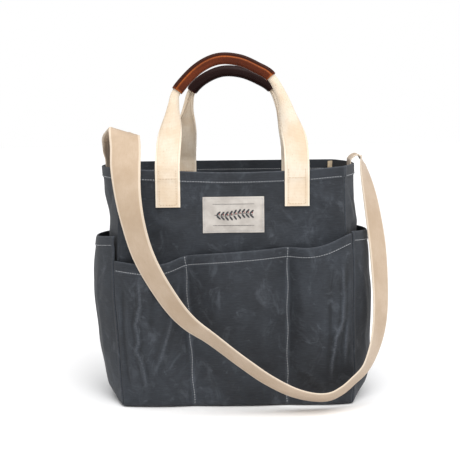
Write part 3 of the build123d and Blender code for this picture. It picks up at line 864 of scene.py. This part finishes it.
def make_face_pocket(name, side, edge_x, edge_z, folds):
    share, across, angle = pocket_grid(141)
    stand_off = GAP + CLOTH
    guess = face_panel(side, share * 211 * MM, across, angle, stand_off, 0)
    top = by_height(guess[..., 0], edge_x, edge_z)
    z = POCKET_FOOT + share * (top - POCKET_FOOT)
    points = face_panel(side, z, across, angle, stand_off, 0)
    x = points[..., 0]
    left_end, right_end = x[:, :1] - 2 * MM, x[:, -1:] + 2 * MM
    bow, dividers = compartment_bow(side, x, z, left_end, right_end)
    loose = np.clip(bow / (7 * MM), 0, 1)
    flat = points[..., [0, 2]]
    lumps = 0.9 * MM * undulation(flat, 0.06, 51 + side) + 1.15 * fold_lines(flat, folds)
    near_hem, hem, lip = pocket_edge(z, top)
    lumps = lumps * loose * (1 - 0.75 * near_hem)
    wall = by_height(z, WALL_LEVELS, FRONT_BOW) * (1 - np.clip(np.abs(across), 0, 1) ** 2)
    points[..., 1] += side * (bow + lumps + wall + hem - lip - foot_tuck(z, POCKET_FOOT) * 0.6)
    normals = level_normals(points, 1, side)
    sewn = np.zeros_like(x)
    for line in dividers:
        sewn = np.maximum(sewn, 0.5 * hump(x, line, 3.2 * MM))
    wear_and_painted_light = wear_and_hollow_shade(wall_edge_wear(z, top, POCKET_HEM, angle), ridge_wear_and_hollow_shade(lumps, 2.3 * MM) * 0.5)
    wear_and_painted_light = wear_and_hollow_shade(sewn * (1 - near_hem * 0.3), wear_and_painted_light)
    piece = hung_sheet(f"{name}_cloth", points, normals, CLOTH + hem - lip, wear_and_painted_light)
    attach(piece, "bag")
    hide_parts(name)
    return points, normals, top


def make_side_pocket(name, side, bows):
    share, across, angle = pocket_grid(81)
    stand_off = 2 * GAP + CLOTH
    middle, front_lift = (222.5, 7) if side < 0 else (227, 5)
    top = middle * MM + front_lift * MM * np.clip(-across, 0, 1) ** 1.5
    z = POCKET_FOOT + share * (top - POCKET_FOOT)
    bow = by_height(z, SIDE_LEVELS, bows) * (1 - np.abs(across) ** 2.1)
    points = side_panel(side, z, across, angle, stand_off, bow)
    flat = points[..., 1:]
    near_hem, hem, lip = pocket_edge(z, top)
    lumps = 0.9 * MM * undulation(flat, 0.06, 61 + side) + 0.7 * fold_lines(flat, SIDE_POCKET_FOLDS[side])
    lumps = lumps * np.clip(bow / (8 * MM), 0, 1) * (1 - 0.75 * near_hem)
    points[..., 0] += side * (lumps + hem - lip - foot_tuck(z, POCKET_FOOT) * 0.6)
    normals = level_normals(points, 0, side)
    wear_and_painted_light = wear_and_hollow_shade(wall_edge_wear(z, top, POCKET_HEM, angle), ridge_wear_and_hollow_shade(lumps, 2.0 * MM) * 0.5)
    piece = hung_sheet(f"{name}_cloth", points, normals, CLOTH + hem - lip, wear_and_painted_light)
    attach(piece, "bag")
    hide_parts(name)
    return points, normals, top


def row_on_grid(points, normals, heights):
    """A line across a grid at the height given for each column, and the normals on it."""
    line, out = [], []
    for column, height in enumerate(heights):
        z = points[:, column, 2]
        line.append([np.interp(height, z, points[:, column, k]) for k in range(2)] + [height])
        out.append([np.interp(height, z, normals[:, column, k]) for k in range(3)])
    return np.array(line), np.array(out)


def column_on_grid(points, normals, xs, axis=0):
    """A line up a grid at the x (or y) given for each row, and the normals on it."""
    line, out = [], []
    for row, place in enumerate(xs):
        along = points[row, :, axis]
        line.append([np.interp(place, along, points[row, :, k]) for k in range(3)])
        out.append([np.interp(place, along, normals[row, :, k]) for k in range(3)])
    return np.array(line), np.array(out)


def hem_stitches(grid, normals, heights):
    """One row of stitches along a hem, between the corner seams."""
    flat = slice(8, grid.shape[1] - 8)
    line, out = row_on_grid(grid[:, flat], normals[:, flat], heights[flat])
    return line, out


# ---------------------------------------------------------------- ribbons


def band_loop(width, thickness, curl=0.0, steps=14):
    """A webbing's section: points round it, and how far each is across it.

    curl is how far each edge has turned back, in radians. A strip along the low edge, which lies on
    the outside of an arch, folds over further than the rest."""
    share = np.linspace(-1, 1, steps)
    fine = np.linspace(-1, 1, 121)
    turn = curl * (0.75 * fine - 0.45 * (1 - step(fine, -0.75, -0.5)))
    run = np.stack([np.cos(turn), np.sin(turn)], axis=-1) * width / 2 * (fine[1] - fine[0])
    line = np.cumsum(run, axis=0)
    line -= line[len(line) // 2]
    line[:, 1] *= 1 - 0.3 * step(curl, 0.8, 2.5)
    middle = points_at(share, fine, line)
    bend = np.interp(share, fine, turn)
    out = np.stack([np.sin(bend), -np.cos(bend)], axis=-1)
    half = np.full(steps, thickness / 2)
    half[[0, -1]] *= 0.55
    half[[1, -2]] *= 1.12
    front = middle + out * half[:, None]
    back = middle - out * half[:, None]
    loop = np.concatenate([front, back[::-1]])
    across = np.concatenate([share, share[::-1]]) * width / 2
    return loop, across


def sweep(name, centres, across, normals, loops, acrosses, material):
    """A ribbon through sections: local a runs along across, and local b along the normal."""
    rings = np.stack([
        centre + loop[:, :1] * a + loop[:, 1:] * n
        for centre, a, n, loop in zip(centres, across, normals, loops)
    ])
    lengths = path_lengths(np.asarray(centres))
    cloth = np.stack([
        np.stack([u, np.full_like(u, v), np.zeros_like(u)], axis=-1) for u, v in zip(acrosses, lengths)
    ])
    return tube_mesh(name, rings, cloth, np.zeros(rings.shape[:2]), material)


def eased(rows, steps):
    """Rows of numbers with more set in between, on a smooth curve through the given ones."""
    rows = np.asarray(rows, float)
    padded = np.concatenate([rows[:1], rows, rows[-1:]])
    smooth = []
    for before, here, there, after in zip(padded, padded[1:], padded[2:], padded[3:]):
        for t in np.arange(steps) / steps:
            smooth.append(
                here + (there - before) / 2 * t
                + (before - 2.5 * here + 2 * there - after / 2) * t**2
                + ((after - before) / 2 + 1.5 * (here - there)) * t**3
            )
    return np.array(smooth + [rows[-1]])


# ---------------------------------------------------------------- carry handles

# The middle line of each handle in its own plane: x, up from its fold line, and how far it has curled
FRONT_ARCH = (
    (-84, 0.5, 0), (-82, 28, 0.3), (-78.5, 58, 1.2), (-75.5, 80, 2.1), (-70.5, 97, 2.7),
    (-45, 124.5, 2.7), (-18, 138, 2.7), (10, 136.5, 2.7), (34, 126, 2.7), (52, 114, 2.7),
    (66.5, 88, 2.0), (76, 58, 1.2), (82.5, 28, 0.3), (84, 0.5, 0),
)
REAR_ARCH = (
    (-66, 0.5, 0), (-65, 28, 0.3), (-63, 56, 1.2), (-60, 78, 2.1), (-54, 99, 2.7),
    (-36, 116, 2.7), (-11, 126, 2.7), (16, 124, 2.7), (41, 113.5, 2.7), (58, 101.5, 2.7),
    (70, 80, 2.0), (79, 56, 1.2), (86, 28, 0.3), (88, 0.5, 0),
)
ARCH_STEPS = 4
GRIP_FIRST, GRIP_LAST = 4, 9  # the points of the arch between which the leather lies
STACK = 8 * MM  # both plies with the hem between them
OUTER_END = 51 * MM  # how far the sewn ends reach below the top edge
INNER_END = 40 * MM
END_STATIONS = 22
GRIP_HALF_WIDTH = 7.7 * MM
GRIP_HALF_DEPTH = 7 * MM
LEATHER = 1.6 * MM
EDGE_CUT = 0.45 * MM  # how much thinner the leather is at its two cut ends


class HandlePlane:
    """The leaning plane that a handle's arch lies in. side is -1 for the front and 1 for the rear."""

    def __init__(self, side, lean, hinge):
        self.side = side
        self.hinge = np.array(hinge)
        self.up = np.array([0, -side * sin(radians(lean)), cos(radians(lean))])
        self.inward = np.array([0, -side * cos(radians(lean)), -sin(radians(lean))])

    def point(self, x, up, depth):
        return self.hinge + np.array([x, 0, 0]) + up * self.up + depth * self.inward

    def direction(self, x, up):
        return unit(np.array([x, 0, 0]) + up * self.up)


def sewn_end(plane, x, reach, depth_at):
    """Stations of a sewn end, from its foot up to the top edge, flat on the wall."""
    stations = []
    for z in np.linspace(HEIGHT - reach, HEIGHT, END_STATIONS):
        y = plane.hinge[1] - plane.side * depth_at(z)
        stations.append((np.array([x, y, z]), np.array([1.0, 0, 0]), np.array([0, -plane.side, 0]), 0.0))
    return stations


def outer_depth(z):
    """From the fold line in to the middle of the outer ply: on the hem, and closer to the wall below it."""
    return WEBBING / 2 + 0.9 * MM * (1 - step(z, HEIGHT - HEM - 5 * MM, HEIGHT - HEM + 1 * MM))


def inner_depth(_):
    """The same for the inner ply, which lies flat behind the hem at every height."""
    return WEBBING * 1.5 + 2 * GAP + HEM_EXTRA + CLOTH + 0.3 * MM


def make_ply(name, plane, arch, which, end_reach, depth_at, nodes):
    """One layer of webbing from its left sewn end, over the arch, to its right one."""
    rows = eased([(x * MM, up * MM, curl) for x, up, curl in arch], ARCH_STEPS)
    # which is -1 for the outer ply and 1 for the inner one, which curls inside it and is drawn narrower
    narrowing = 0.38 if which < 0 else 0.6
    curled_depth = STACK / 2 - (3.4 * MM if which < 0 else 1.2 * MM)
    stations = sewn_end(plane, rows[0][0], end_reach, depth_at)
    runs = np.gradient(rows[:, :2], axis=0)
    runs[0], runs[-1] = (0, 1), (0, -1)
    for (x, up, curl), run in zip(rows, runs):
        run = run / np.linalg.norm(run)
        spread = WEBBING / 2 + GAP / 2 + 1.9 * MM * (1 - step(up, 0, 60 * MM))
        flat_depth = STACK / 2 + which * spread
        depth = flat_depth + (curled_depth - flat_depth) * step(curl, 0.2, 2.5)
        centre = plane.point(x, up, depth)
        stations.append((centre, plane.direction(run[1], -run[0]), plane.inward, curl))
    far_end = sewn_end(plane, rows[-1][0], end_reach, depth_at)[::-1]
    stations += [(centre, -across, normal, curl) for centre, across, normal, curl in far_end]
    loops, acrosses = [], []
    for _, _, _, curl in stations:
        width = WEBBING_WIDTH * (1 - narrowing * step(curl, 0.6, 2.6))
        loop, across = band_loop(width, WEBBING, curl, steps=22)
        loops.append(loop)
        acrosses.append(across)
    centres, across, normals, _ = zip(*stations)
    piece = sweep(name, centres, across, normals, loops, acrosses, HANDLE_COTTON)
    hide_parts(*nodes)
    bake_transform(piece)
    length = path_lengths(np.array(centres))[-1]


def grip_section(wall):
    """Points round a grip's section. A groove runs along it where the leather's two edges meet."""
    turn = np.linspace(0, 2 * pi, 48, endpoint=False)
    a = (GRIP_HALF_WIDTH - wall) * np.sign(np.cos(turn)) * np.abs(np.cos(turn)) ** 0.85
    b = (GRIP_HALF_DEPTH - wall) * np.sign(np.sin(turn)) * np.abs(np.sin(turn)) ** 0.85
    groove_at = radians(-112)
    off = np.angle(np.exp(1j * (turn - groove_at)))
    groove = 1 - 0.13 * hump(off, 0, 0.13) + 0.05 * hump(np.abs(off), 0.36, 0.2)
    section = np.stack([a, b], axis=-1)
    if wall == 0:
        section = section * groove[:, None]
    # painted light: one facet of the section is lit, the rest stays in painted shade, and a line beside the
    # groove is a painted highlight
    lit_facet = 0.45 * step(off, -0.1, 0.15) * (1 - step(off, 1.6, 2.2))
    painted_light = lit_facet + 0.5 * hump(off, 0.24, 0.13)
    return section, painted_light, turn


def closed_sleeve(name, rings, cloth, wear_and_painted_light, material):
    """A sleeve through rings that run along its outside and back along its inside."""
    faces = grid_quads(*rings.shape[:2], around=True, closed=True).tolist()
    return closed_mesh(name, rings.reshape(-1, 3).tolist(), faces, material, cloth, wear_and_painted_light)


def make_grip(name, plane, arch, material, body):
    """A leather sleeve round the folded webbing, with edges that are a little rounded off."""
    rows = eased([(x * MM, up * MM) for x, up, _ in arch], ARCH_STEPS * 2)
    first, last = GRIP_FIRST * ARCH_STEPS * 2, GRIP_LAST * ARCH_STEPS * 2
    runs = np.gradient(rows, axis=0)
    outer_rings, inner_rings, cloth, wear_and_painted_light = [], [], [], []
    travelled = path_lengths(rows)
    for index in range(first, last + 1):
        run = runs[index] / np.linalg.norm(runs[index])
        centre = plane.point(rows[index][0], rows[index][1], STACK / 2)
        across = plane.direction(run[1], -run[0])
        at_end = min(index - first, last - index)
        cut = EDGE_CUT if at_end == 0 else 0.0
        for wall, rings in ((cut, outer_rings), (LEATHER - cut, inner_rings)):
            section, painted_light, turn = grip_section(wall)
            if wall == cut and cut:
                section = grip_section(0)[0] * 0.965
            rings.append(centre + section[:, :1] * across + section[:, 1:] * plane.inward)
        cloth.append(np.stack([turn * 8.5 * MM, np.full_like(turn, travelled[index]), 0 * turn], -1))
        # painted light from the section, and lighter cut ends
        wear_and_painted_light.append(np.clip(painted_light + (0.5 if at_end == 0 else 0), 0, 1))
    rings = np.array(outer_rings + inner_rings[::-1])
    cloth, wear_and_painted_light = np.array(cloth + cloth[::-1]), np.array(wear_and_painted_light)
    piece = closed_sleeve(f"{name}_leather", rings, cloth, np.concatenate([wear_and_painted_light, 0 * wear_and_painted_light]), material)
    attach(piece, body)
    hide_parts(name)


def sewn_end_stitches(plane, x, reach, depth_at, face):
    """Rows of thread down both sides and across the foot and top of a sewn end."""
    rows = []
    out = np.array([0, plane.side * face, 0.0])

    def place(px, z):
        depth = depth_at(z) - face * (WEBBING / 2)
        return [px, plane.hinge[1] - plane.side * depth, z]

    low, high = HEIGHT - reach + 3 * MM, HEIGHT - 2 * MM
    for shift in (-WEBBING_WIDTH / 2 + 5 * MM, WEBBING_WIDTH / 2 - 5 * MM):
        line = np.array([place(x + shift, z) for z in np.linspace(low, high, 24)])
        rows.append((line, np.tile(out, (24, 1))))
    for z in (low, high - 12 * MM):
        line = np.array([place(px, z) for px in np.linspace(x - 11 * MM, x + 11 * MM, 12)])
        rows.append((line, np.tile(out, (12, 1))))
    return rows


def make_handle(place, side, lean, arch, leather):
    body = f"{place}_handle"
    plane = HandlePlane(side, lean, hinges[f"{body}_fold"])
    # name and side of each ply, how far its sewn ends reach down, and how deep they lie
    plies = (("outer", -1, OUTER_END, outer_depth), ("inner", 1, INNER_END, inner_depth))
    for ply, which, reach, depth_at in plies:
        nodes = (f"{body}_{ply}_webbing", f"{body}_left_{ply}_end", f"{body}_right_{ply}_end")
        make_ply(f"{body}_{ply}_ply", plane, arch, which, reach, depth_at, nodes)
    make_grip(f"{place}_grip", plane, arch, leather, body)
    rows = []
    for x in (arch[0][0] * MM, arch[-1][0] * MM):
        for _, which, reach, depth_at in plies:
            rows += sewn_end_stitches(plane, x, reach, depth_at, -which)
    thread = stitching(f"{body}_thread", rows, SHADED_CREAM_THREAD, pitch=3.2 * MM, radius=0.4 * MM)
    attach(thread, "bag")


# ---------------------------------------------------------------- shoulder strap

HINGE_LEFT = np.array(hinges["strap_swing"])
HINGE_RIGHT = mm(171, 0, 329)
HINGE_RUN = unit(HINGE_RIGHT - HINGE_LEFT)
FOLD_RUN = unit(np.array([HINGE_RUN[1], -HINGE_RUN[0], 0]))  # forwards over the left fold
FOLD_DOWN = np.cross(FOLD_RUN, HINGE_RUN)
FOLD_DOWN = -FOLD_DOWN if FOLD_DOWN[2] > 0 else FOLD_DOWN

# x, y, z and the turn of the width direction, in degrees from straight across the gusset
LEFT_RISE = (
    (-165.2, 0, 272, 0), (-168.8, 0, 300, 0), (-168.8, 0, 320, 1), (-166.5, -4, 339, 8),
    (-158.5, -15, 354, 28), (-152, -30, 362, 58),
)
# x, y, z and the share of the width that shows from the front
HANGING = (
    (-140.5, -57, 360.5, 0.99), (-138.5, -68, 344, 0.99), (-138, -80, 318, 0.98),
    (-134.5, -92, 282, 0.88), (-127.5, -102, 247, 0.8), (-116, -109, 211, 0.76),
    (-98, -114, 174, 0.72), (-77, -117, 143, 0.69), (-56, -119, 121, 0.63), (-32, -120, 103, 0.55),
    (-9, -121, 85, 0.52), (16, -121, 66, 0.52), (42, -121, 47, 0.52), (72, -120, 31, 0.51),
    (100, -117, 22.5, 0.5), (122, -113, 21, 0.52), (139, -108, 27, 0.5), (155, -100, 38, 0.48),
    (173, -88, 54, 0.5), (187, -74, 79, 0.54), (194.5, -62, 108, 0.58), (197.5, -48, 148, 0.62),
    (197, -37, 187, 0.64), (193, -28, 228, 0.63), (188, -19, 267, 0.56), (182.5, -9, 299, 0.42),
    (178.5, -1, 320, 0.22),
)
RIGHT_END = (
    (176.5, 0, 325), (171.0, 0, 329), (165.5, 0, 327.6), (161.2, 0, 323.5), (160.3, 0, 318),
    (161.2, 0, 284), (161.8, 0, 272),
)
FOLD_SLANT = 0.16  # how much steeper than the hinge line the fold's upper edge runs
LEVELS_OUT = 12  # stations over which that slant fades
LEFT_PIECE_ENDS = 335 * MM  # the left bend ends below this height, in front
RIGHT_PIECE_STARTS = 292 * MM  # the right bend starts above this height, outside


def hanging_stations(rows):
    """Places and width directions of the strap where it hangs in front and at the right."""
    places, across = [], []
    for before, here, after in zip(rows, rows[1:], rows[2:]):
        run = after[:3] - before[:3]
        share = here[3]
        flat = sqrt(run[0] ** 2 + run[2] ** 2)
        back = sqrt((1 - share**2) / (1 + (run[1] / flat) ** 2))
        slide = -back * run[1] / flat
        places.append(here[:3] * MM)
        across.append([
            share * run[2] / flat + slide * run[0] / flat,
            back,
            -share * run[0] / flat + slide * run[2] / flat,
        ])
    return places, across


def strap_line():
    """The whole strap, from its sewn left end over the bag's front to its sewn right end."""
    places, across = [], []
    for x, y, z, turn in eased(LEFT_RISE, 4):
        places.append(mm(x, y, z))
        across.append([-sin(radians(turn)), -cos(radians(turn)), 0])
    fold = HINGE_LEFT + FOLD_DOWN * STRAP / 2
    slanted = unit(-HINGE_RUN + np.array([0, 0, FOLD_SLANT]))
    places += [fold, fold + FOLD_RUN * 7 * MM + FOLD_DOWN * 1.2 * MM]
    across += [slanted, slanted]
    more_places, more_across = hanging_stations(eased(HANGING, 5))
    for index in range(LEVELS_OUT):
        more_across[index][2] += (FOLD_SLANT + 0.24) * (1 - index / LEVELS_OUT)
    places += more_places
    across += more_across
    last_places = eased(RIGHT_END, 3) * MM
    places += list(last_places)
    across += [[0, 1, 0]] * len(last_places)
    return np.array(places), unit(np.array(across, float))


def make_strap():
    places, across = strap_line()
    runs = unit(np.gradient(places, axis=0))
    across = unit(across - np.sum(across * runs, axis=1, keepdims=True) * runs)
    normals = np.cross(runs, across)
    lengths = path_lengths(places)
    loop, off_middle = band_loop(STRAP_WIDTH, STRAP, steps=16)
    ripple = 0.5 * MM * undulation(lengths[:, None], 0.11, 71)
    loose = step(lengths, 0.16, 0.24) * (1 - step(lengths, lengths[-1] - 0.2, lengths[-1] - 0.12))
    places = places + normals * (ripple * loose)[:, None]
    rings = places[:, None] + loop[None, :, :1] * across[:, None] + loop[None, :, 1:] * normals[:, None]
    cloth = np.stack(np.broadcast_arrays(off_middle[None, :], lengths[:, None], 0.0), axis=-1)
    past_fold = np.argmax((places[:, 1] < -60 * MM) & (places[:, 2] < LEFT_PIECE_ENDS))
    high_at_right = (places[:, 0] > 170 * MM) & (places[:, 2] > RIGHT_PIECE_STARTS)
    outside = np.argmax(high_at_right & (lengths > lengths[-1] / 2))
    cuts = (0, past_fold, outside, len(places) - 1)
    nodes = {
        "strap_left_bend": "strap_left_end", "strap_free": "shoulder_strap",
        "strap_right_bend": "strap_right_end",
    }
    pieces = {}
    for name, first, last in zip(nodes, cuts, cuts[1:]):
        part = slice(first, last + 1)
        wear_and_painted_light = np.zeros(rings[part].shape[:2])
        pieces[name] = tube_mesh(name, rings[part], cloth[part], wear_and_painted_light, STRAP_COTTON)
        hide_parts(nodes[name])
    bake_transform(pieces["strap_left_bend"])
    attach(pieces["strap_free"], "shoulder_strap")
    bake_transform(pieces["strap_right_bend"])


# ---------------------------------------------------------------- label and tapes


def make_label(wall):
    """A woven label with a stitched edge and a plain sprig, in place of any lettering."""
    low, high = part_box("label")
    rows, columns = 25, 41
    heights, widths = np.linspace(low.z, high.z, rows), np.linspace(low.x, high.x, columns)
    z, x = np.meshgrid(heights, widths, indexing="ij")
    y = np.empty_like(x)
    for row in range(rows):
        for column in range(columns):
            y[row, column] = wall_depth(wall, x[row, column], z[row, column]) - GAP / 2
    curl = 0.35 * MM * undulation(np.stack([x, z], -1), 0.03, 81)
    back = np.stack([x, y, z], axis=-1)
    front = back - np.array([0, 1, 0]) * (0.75 * MM + 0.2 * MM * (1 + curl / MM))[..., None]
    cloth = np.stack([x, z, np.zeros_like(x)], axis=-1)
    piece = cloth_shell("woven_label", front, back, cloth, np.zeros_like(x), WOVEN_LABEL)
    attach(piece, "bag")
    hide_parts("label")

    def on_label(px, pz, lift=0.0):
        return [px, float(np.interp(px, x[0], front[np.argmin(abs(z[:, 0] - pz)), :, 1])) - lift, pz]

    inset = 2.2 * MM
    left, right, foot, top = low.x + inset, high.x - inset, low.z + inset, high.z - inset
    corners = ((left, foot), (right, foot), (right, top), (left, top), (left, foot))
    border = []
    for start, end in zip(corners, corners[1:]):
        spots = np.linspace(start, end, 24)
        border.append((np.array([on_label(px, pz) for px, pz in spots]), np.tile([0, -1.0, 0], (24, 1))))
    thread = stitching("label_thread", border, PALE_THREAD, pitch=2.6 * MM, radius=0.28 * MM)
    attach(thread, "bag")
    make_sprig((low.x + high.x) / 2, (low.z + high.z) / 2, on_label)


def make_sprig(middle_x, middle_z, on_label):
    """An embroidered sprig with berries, between two plain rules."""
    down = np.array([0, -1.0, 0])

    def row(*points):
        return (np.array([on_label(*point) for point in points]), np.tile(down, (len(points), 1)))

    rules = [
        row(*((middle_x + u * 27 * MM, middle_z + shift) for u in np.linspace(-1, 1, 14)))
        for shift in (-14 * MM, 14 * MM)
    ]
    shares = np.linspace(-1, 1, 20)
    stem = [row(*((middle_x + u * 25 * MM, middle_z + 1.6 * MM * sin(3 * u)) for u in shares))]
    leaves, berries = [], []
    for index in range(-4, 5):
        root_x = middle_x + index * 5.4 * MM
        root_z = middle_z + 1.6 * MM * sin(3 * index * 5.4 / 25)
        for up in (-1, 1):
            tip = (root_x + 4.4 * MM, root_z + up * (7.0 - 0.55 * abs(index)) * MM)
            leaves.append(row((root_x, root_z + up * 0.8 * MM), tip))
        berry_x = root_x + 3.2 * MM
        ends = [(berry_x + half, root_z + 1.7 * MM) for half in (-0.7 * MM, 0.7 * MM)]
        berries.append(row(*ends))
    # name, rows, thread, and each stitch's pitch, radius, share of the pitch and flatness
    parts = (
        ("label_rules", rules, DARK_THREAD, 2.0 * MM, 0.3 * MM, 0.9, 1.0),
        ("label_stem", stem, DARK_THREAD, 1.6 * MM, 0.35 * MM, 1.0, 1.0),
        ("label_leaves", leaves, DARK_THREAD, 7 * MM, 1.25 * MM, 0.95, 0.3),
        ("label_berries", berries, RED_THREAD, 1.4 * MM, 0.85 * MM, 1.0, 0.5),
    )
    for name, rows, material, pitch, radius, share, flat in parts:
        piece = stitching(name, rows, material, pitch=pitch, radius=radius, share=share, flat=flat)
        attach(piece, "bag")


def wall_depth(wall, x, z):
    """y of the front wall's outer face at one place."""
    row = int(np.argmin(np.abs(wall[:, wall.shape[1] // 2, 2] - z)))
    order = slice(8, wall.shape[1] - 8)
    return float(np.interp(x, wall[row, order, 0], wall[row, order, 1]))


def make_bindings():
    """Tape folded over the seam allowances in the four inside corners."""
    for name, side_x, side_y in (
        ("front_left", -1, -1), ("front_right", 1, -1), ("back_left", -1, 1), ("back_right", 1, 1),
    ):
        heights = np.arange(4 * MM, HEIGHT + 0.1 * MM, 4 * MM)
        table = LEFT_CORNER if side_x < 0 else RIGHT_CORNER
        reach = 7 * MM
        places, across, normals = [], [], []
        for z in heights:
            corner = side_x * (HALF_WIDTH + by_height(z, WALL_LEVELS, table))
            sway = 0.5 * MM * sin(z * 70 + side_x + 2 * side_y)
            x = corner - side_x * (CLOTH + reach * sin(pi / 4)) + sway * side_x
            y = side_y * (HALF_DEPTH - CLOTH - reach * sin(pi / 4)) + sway * side_y
            places.append(np.array([x, y, z]))
            across.append(unit(np.array([side_x, side_y, 0.0])))
            normals.append(unit(np.array([side_x, -side_y, 0.0])))
        loop, off_middle = band_loop(9 * MM, 2.2 * MM, steps=10)
        loops, off_middles = [loop] * len(heights), [off_middle] * len(heights)
        piece = sweep(f"{name}_seam_tape", places, across, normals, loops, off_middles, TAPE)
        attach(piece, "bag")
        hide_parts(f"{name}_seam_binding")


# ---------------------------------------------------------------- the bag


def make_walls_and_pockets():
    rows = []
    walls = [
        make_face_wall("front_panel", -1),
        make_face_wall("back_panel", 1),
        make_gusset("left_gusset", -1, LEFT_BOW),
        make_gusset("right_gusset", 1, RIGHT_BOW),
    ]
    for points, normals in walls:
        line = points[-1, :, 2] - HEM + 2.2 * MM
        rows.append(hem_stitches(points, normals, line))
        inside, out = hem_stitches(points, normals, line)
        rows.append((inside - out * (CLOTH + HEM_EXTRA), -out))
    make_base()
    make_label(walls[0][0])
    pockets = [
        make_face_pocket("front_pocket", -1, FRONT_EDGE_X, FRONT_EDGE_Z, FRONT_POCKET_FOLDS),
        make_face_pocket("back_pocket", 1, BACK_EDGE_X, BACK_EDGE_Z, BACK_POCKET_FOLDS),
        make_side_pocket("left_side_pocket", -1, LEFT_POCKET_BOW),
        make_side_pocket("right_side_pocket", 1, RIGHT_POCKET_BOW),
    ]
    for points, normals, top in pockets:
        rows.append(hem_stitches(points, normals, top[-1] - POCKET_HEM + 1.8 * MM))
    for (points, normals, _), side in zip(pockets[:2], (-1, 1)):
        for index in range(2):
            z = points[:, 70, 2]
            line_x = divider_lines(side, z)[index] + 0.8 * MM * np.sin(z / (9 * MM) + 3 * index)
            line, out = column_on_grid(points, normals, line_x)
            rows.append((line[3:], out[3:]))
    thread = stitching("canvas_thread", rows, PALE_THREAD)
    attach(thread, "bag")


# ---------------------------------------------------------------- floor, light and camera

CAMERA_PLACE = (-0.0127, -1.5, 0.4148)
CAMERA_YAW, CAMERA_DOWN, CAMERA_ROLL = -0.36, 7.15, -0.64  # degrees
LENS = 85.98
SKY_LIGHT = 0.5


def make_floor():
    bpy.ops.mesh.primitive_grid_add(x_subdivisions=8, y_subdivisions=8, size=14, location=(0, 0, -0.0004))
    floor = bpy.context.object
    floor.name = "floor"
    floor.data.materials.append(floor_material())


def make_world():
    """White behind the bag, and a dimmer white sky as its soft light."""
    world = bpy.data.worlds.new("studio")
    world.use_nodes = True
    tree = world.node_tree
    background = tree.nodes["Background"]
    background.inputs["Color"].default_value = (1, 1, 1, 1)
    seen = tree.nodes.new("ShaderNodeLightPath").outputs["Is Camera Ray"]
    strength = tree.nodes.new("ShaderNodeMapRange")
    strength.inputs["To Min"].default_value = SKY_LIGHT
    strength.inputs["To Max"].default_value = 1.0
    tree.links.new(seen, strength.inputs["Value"])
    tree.links.new(strength.outputs[0], background.inputs["Strength"])
    bpy.context.scene.world = world


def add_lamp(name, kind, energy, aim):
    data = bpy.data.lights.new(name, kind)
    data.energy = energy
    lamp = bpy.data.objects.new(name, data)
    bpy.context.collection.objects.link(lamp)
    lamp.rotation_euler = aim.to_track_quat("-Z", "Y").to_euler()
    return lamp


def make_lights():
    sun = add_lamp("softbox", "SUN", 2.6, Vector((-0.1, 0.5, -1)))
    sun.data.angle = radians(60)
    place = Vector((0.5, -1.8, 1.7))
    key = add_lamp("key", "AREA", 11, Vector((0, 0, 0.18)) - place)
    key.location = place
    key.data.shape = "RECTANGLE"
    key.data.size, key.data.size_y = 0.8, 0.8


def make_camera():
    yaw, down, roll = (radians(a) for a in (CAMERA_YAW, CAMERA_DOWN, CAMERA_ROLL))
    ahead = Vector((-sin(yaw) * cos(down), cos(yaw) * cos(down), -sin(down)))
    level = Vector((cos(yaw), sin(yaw), 0))
    upright = level.cross(ahead)
    right = level * cos(roll) + upright * sin(roll)
    up = upright * cos(roll) - level * sin(roll)
    camera = bpy.data.objects.new("camera", bpy.data.cameras.new("camera"))
    camera.data.lens = LENS
    turned = Matrix((right, up, -ahead)).transposed().to_4x4()
    camera.matrix_world = Matrix.Translation(CAMERA_PLACE) @ turned
    bpy.context.collection.objects.link(camera)
    bpy.context.scene.camera = camera


make_camera()
make_floor()
make_world()
make_lights()
bpy.context.scene.view_settings.view_transform = "Standard"

make_walls_and_pockets()
make_bindings()
make_handle("front", -1, 9, FRONT_ARCH, FRONT_LEATHER)
make_handle("rear", 1, 13, REAR_ARCH, SHADED_REAR_LEATHER)
make_strap()
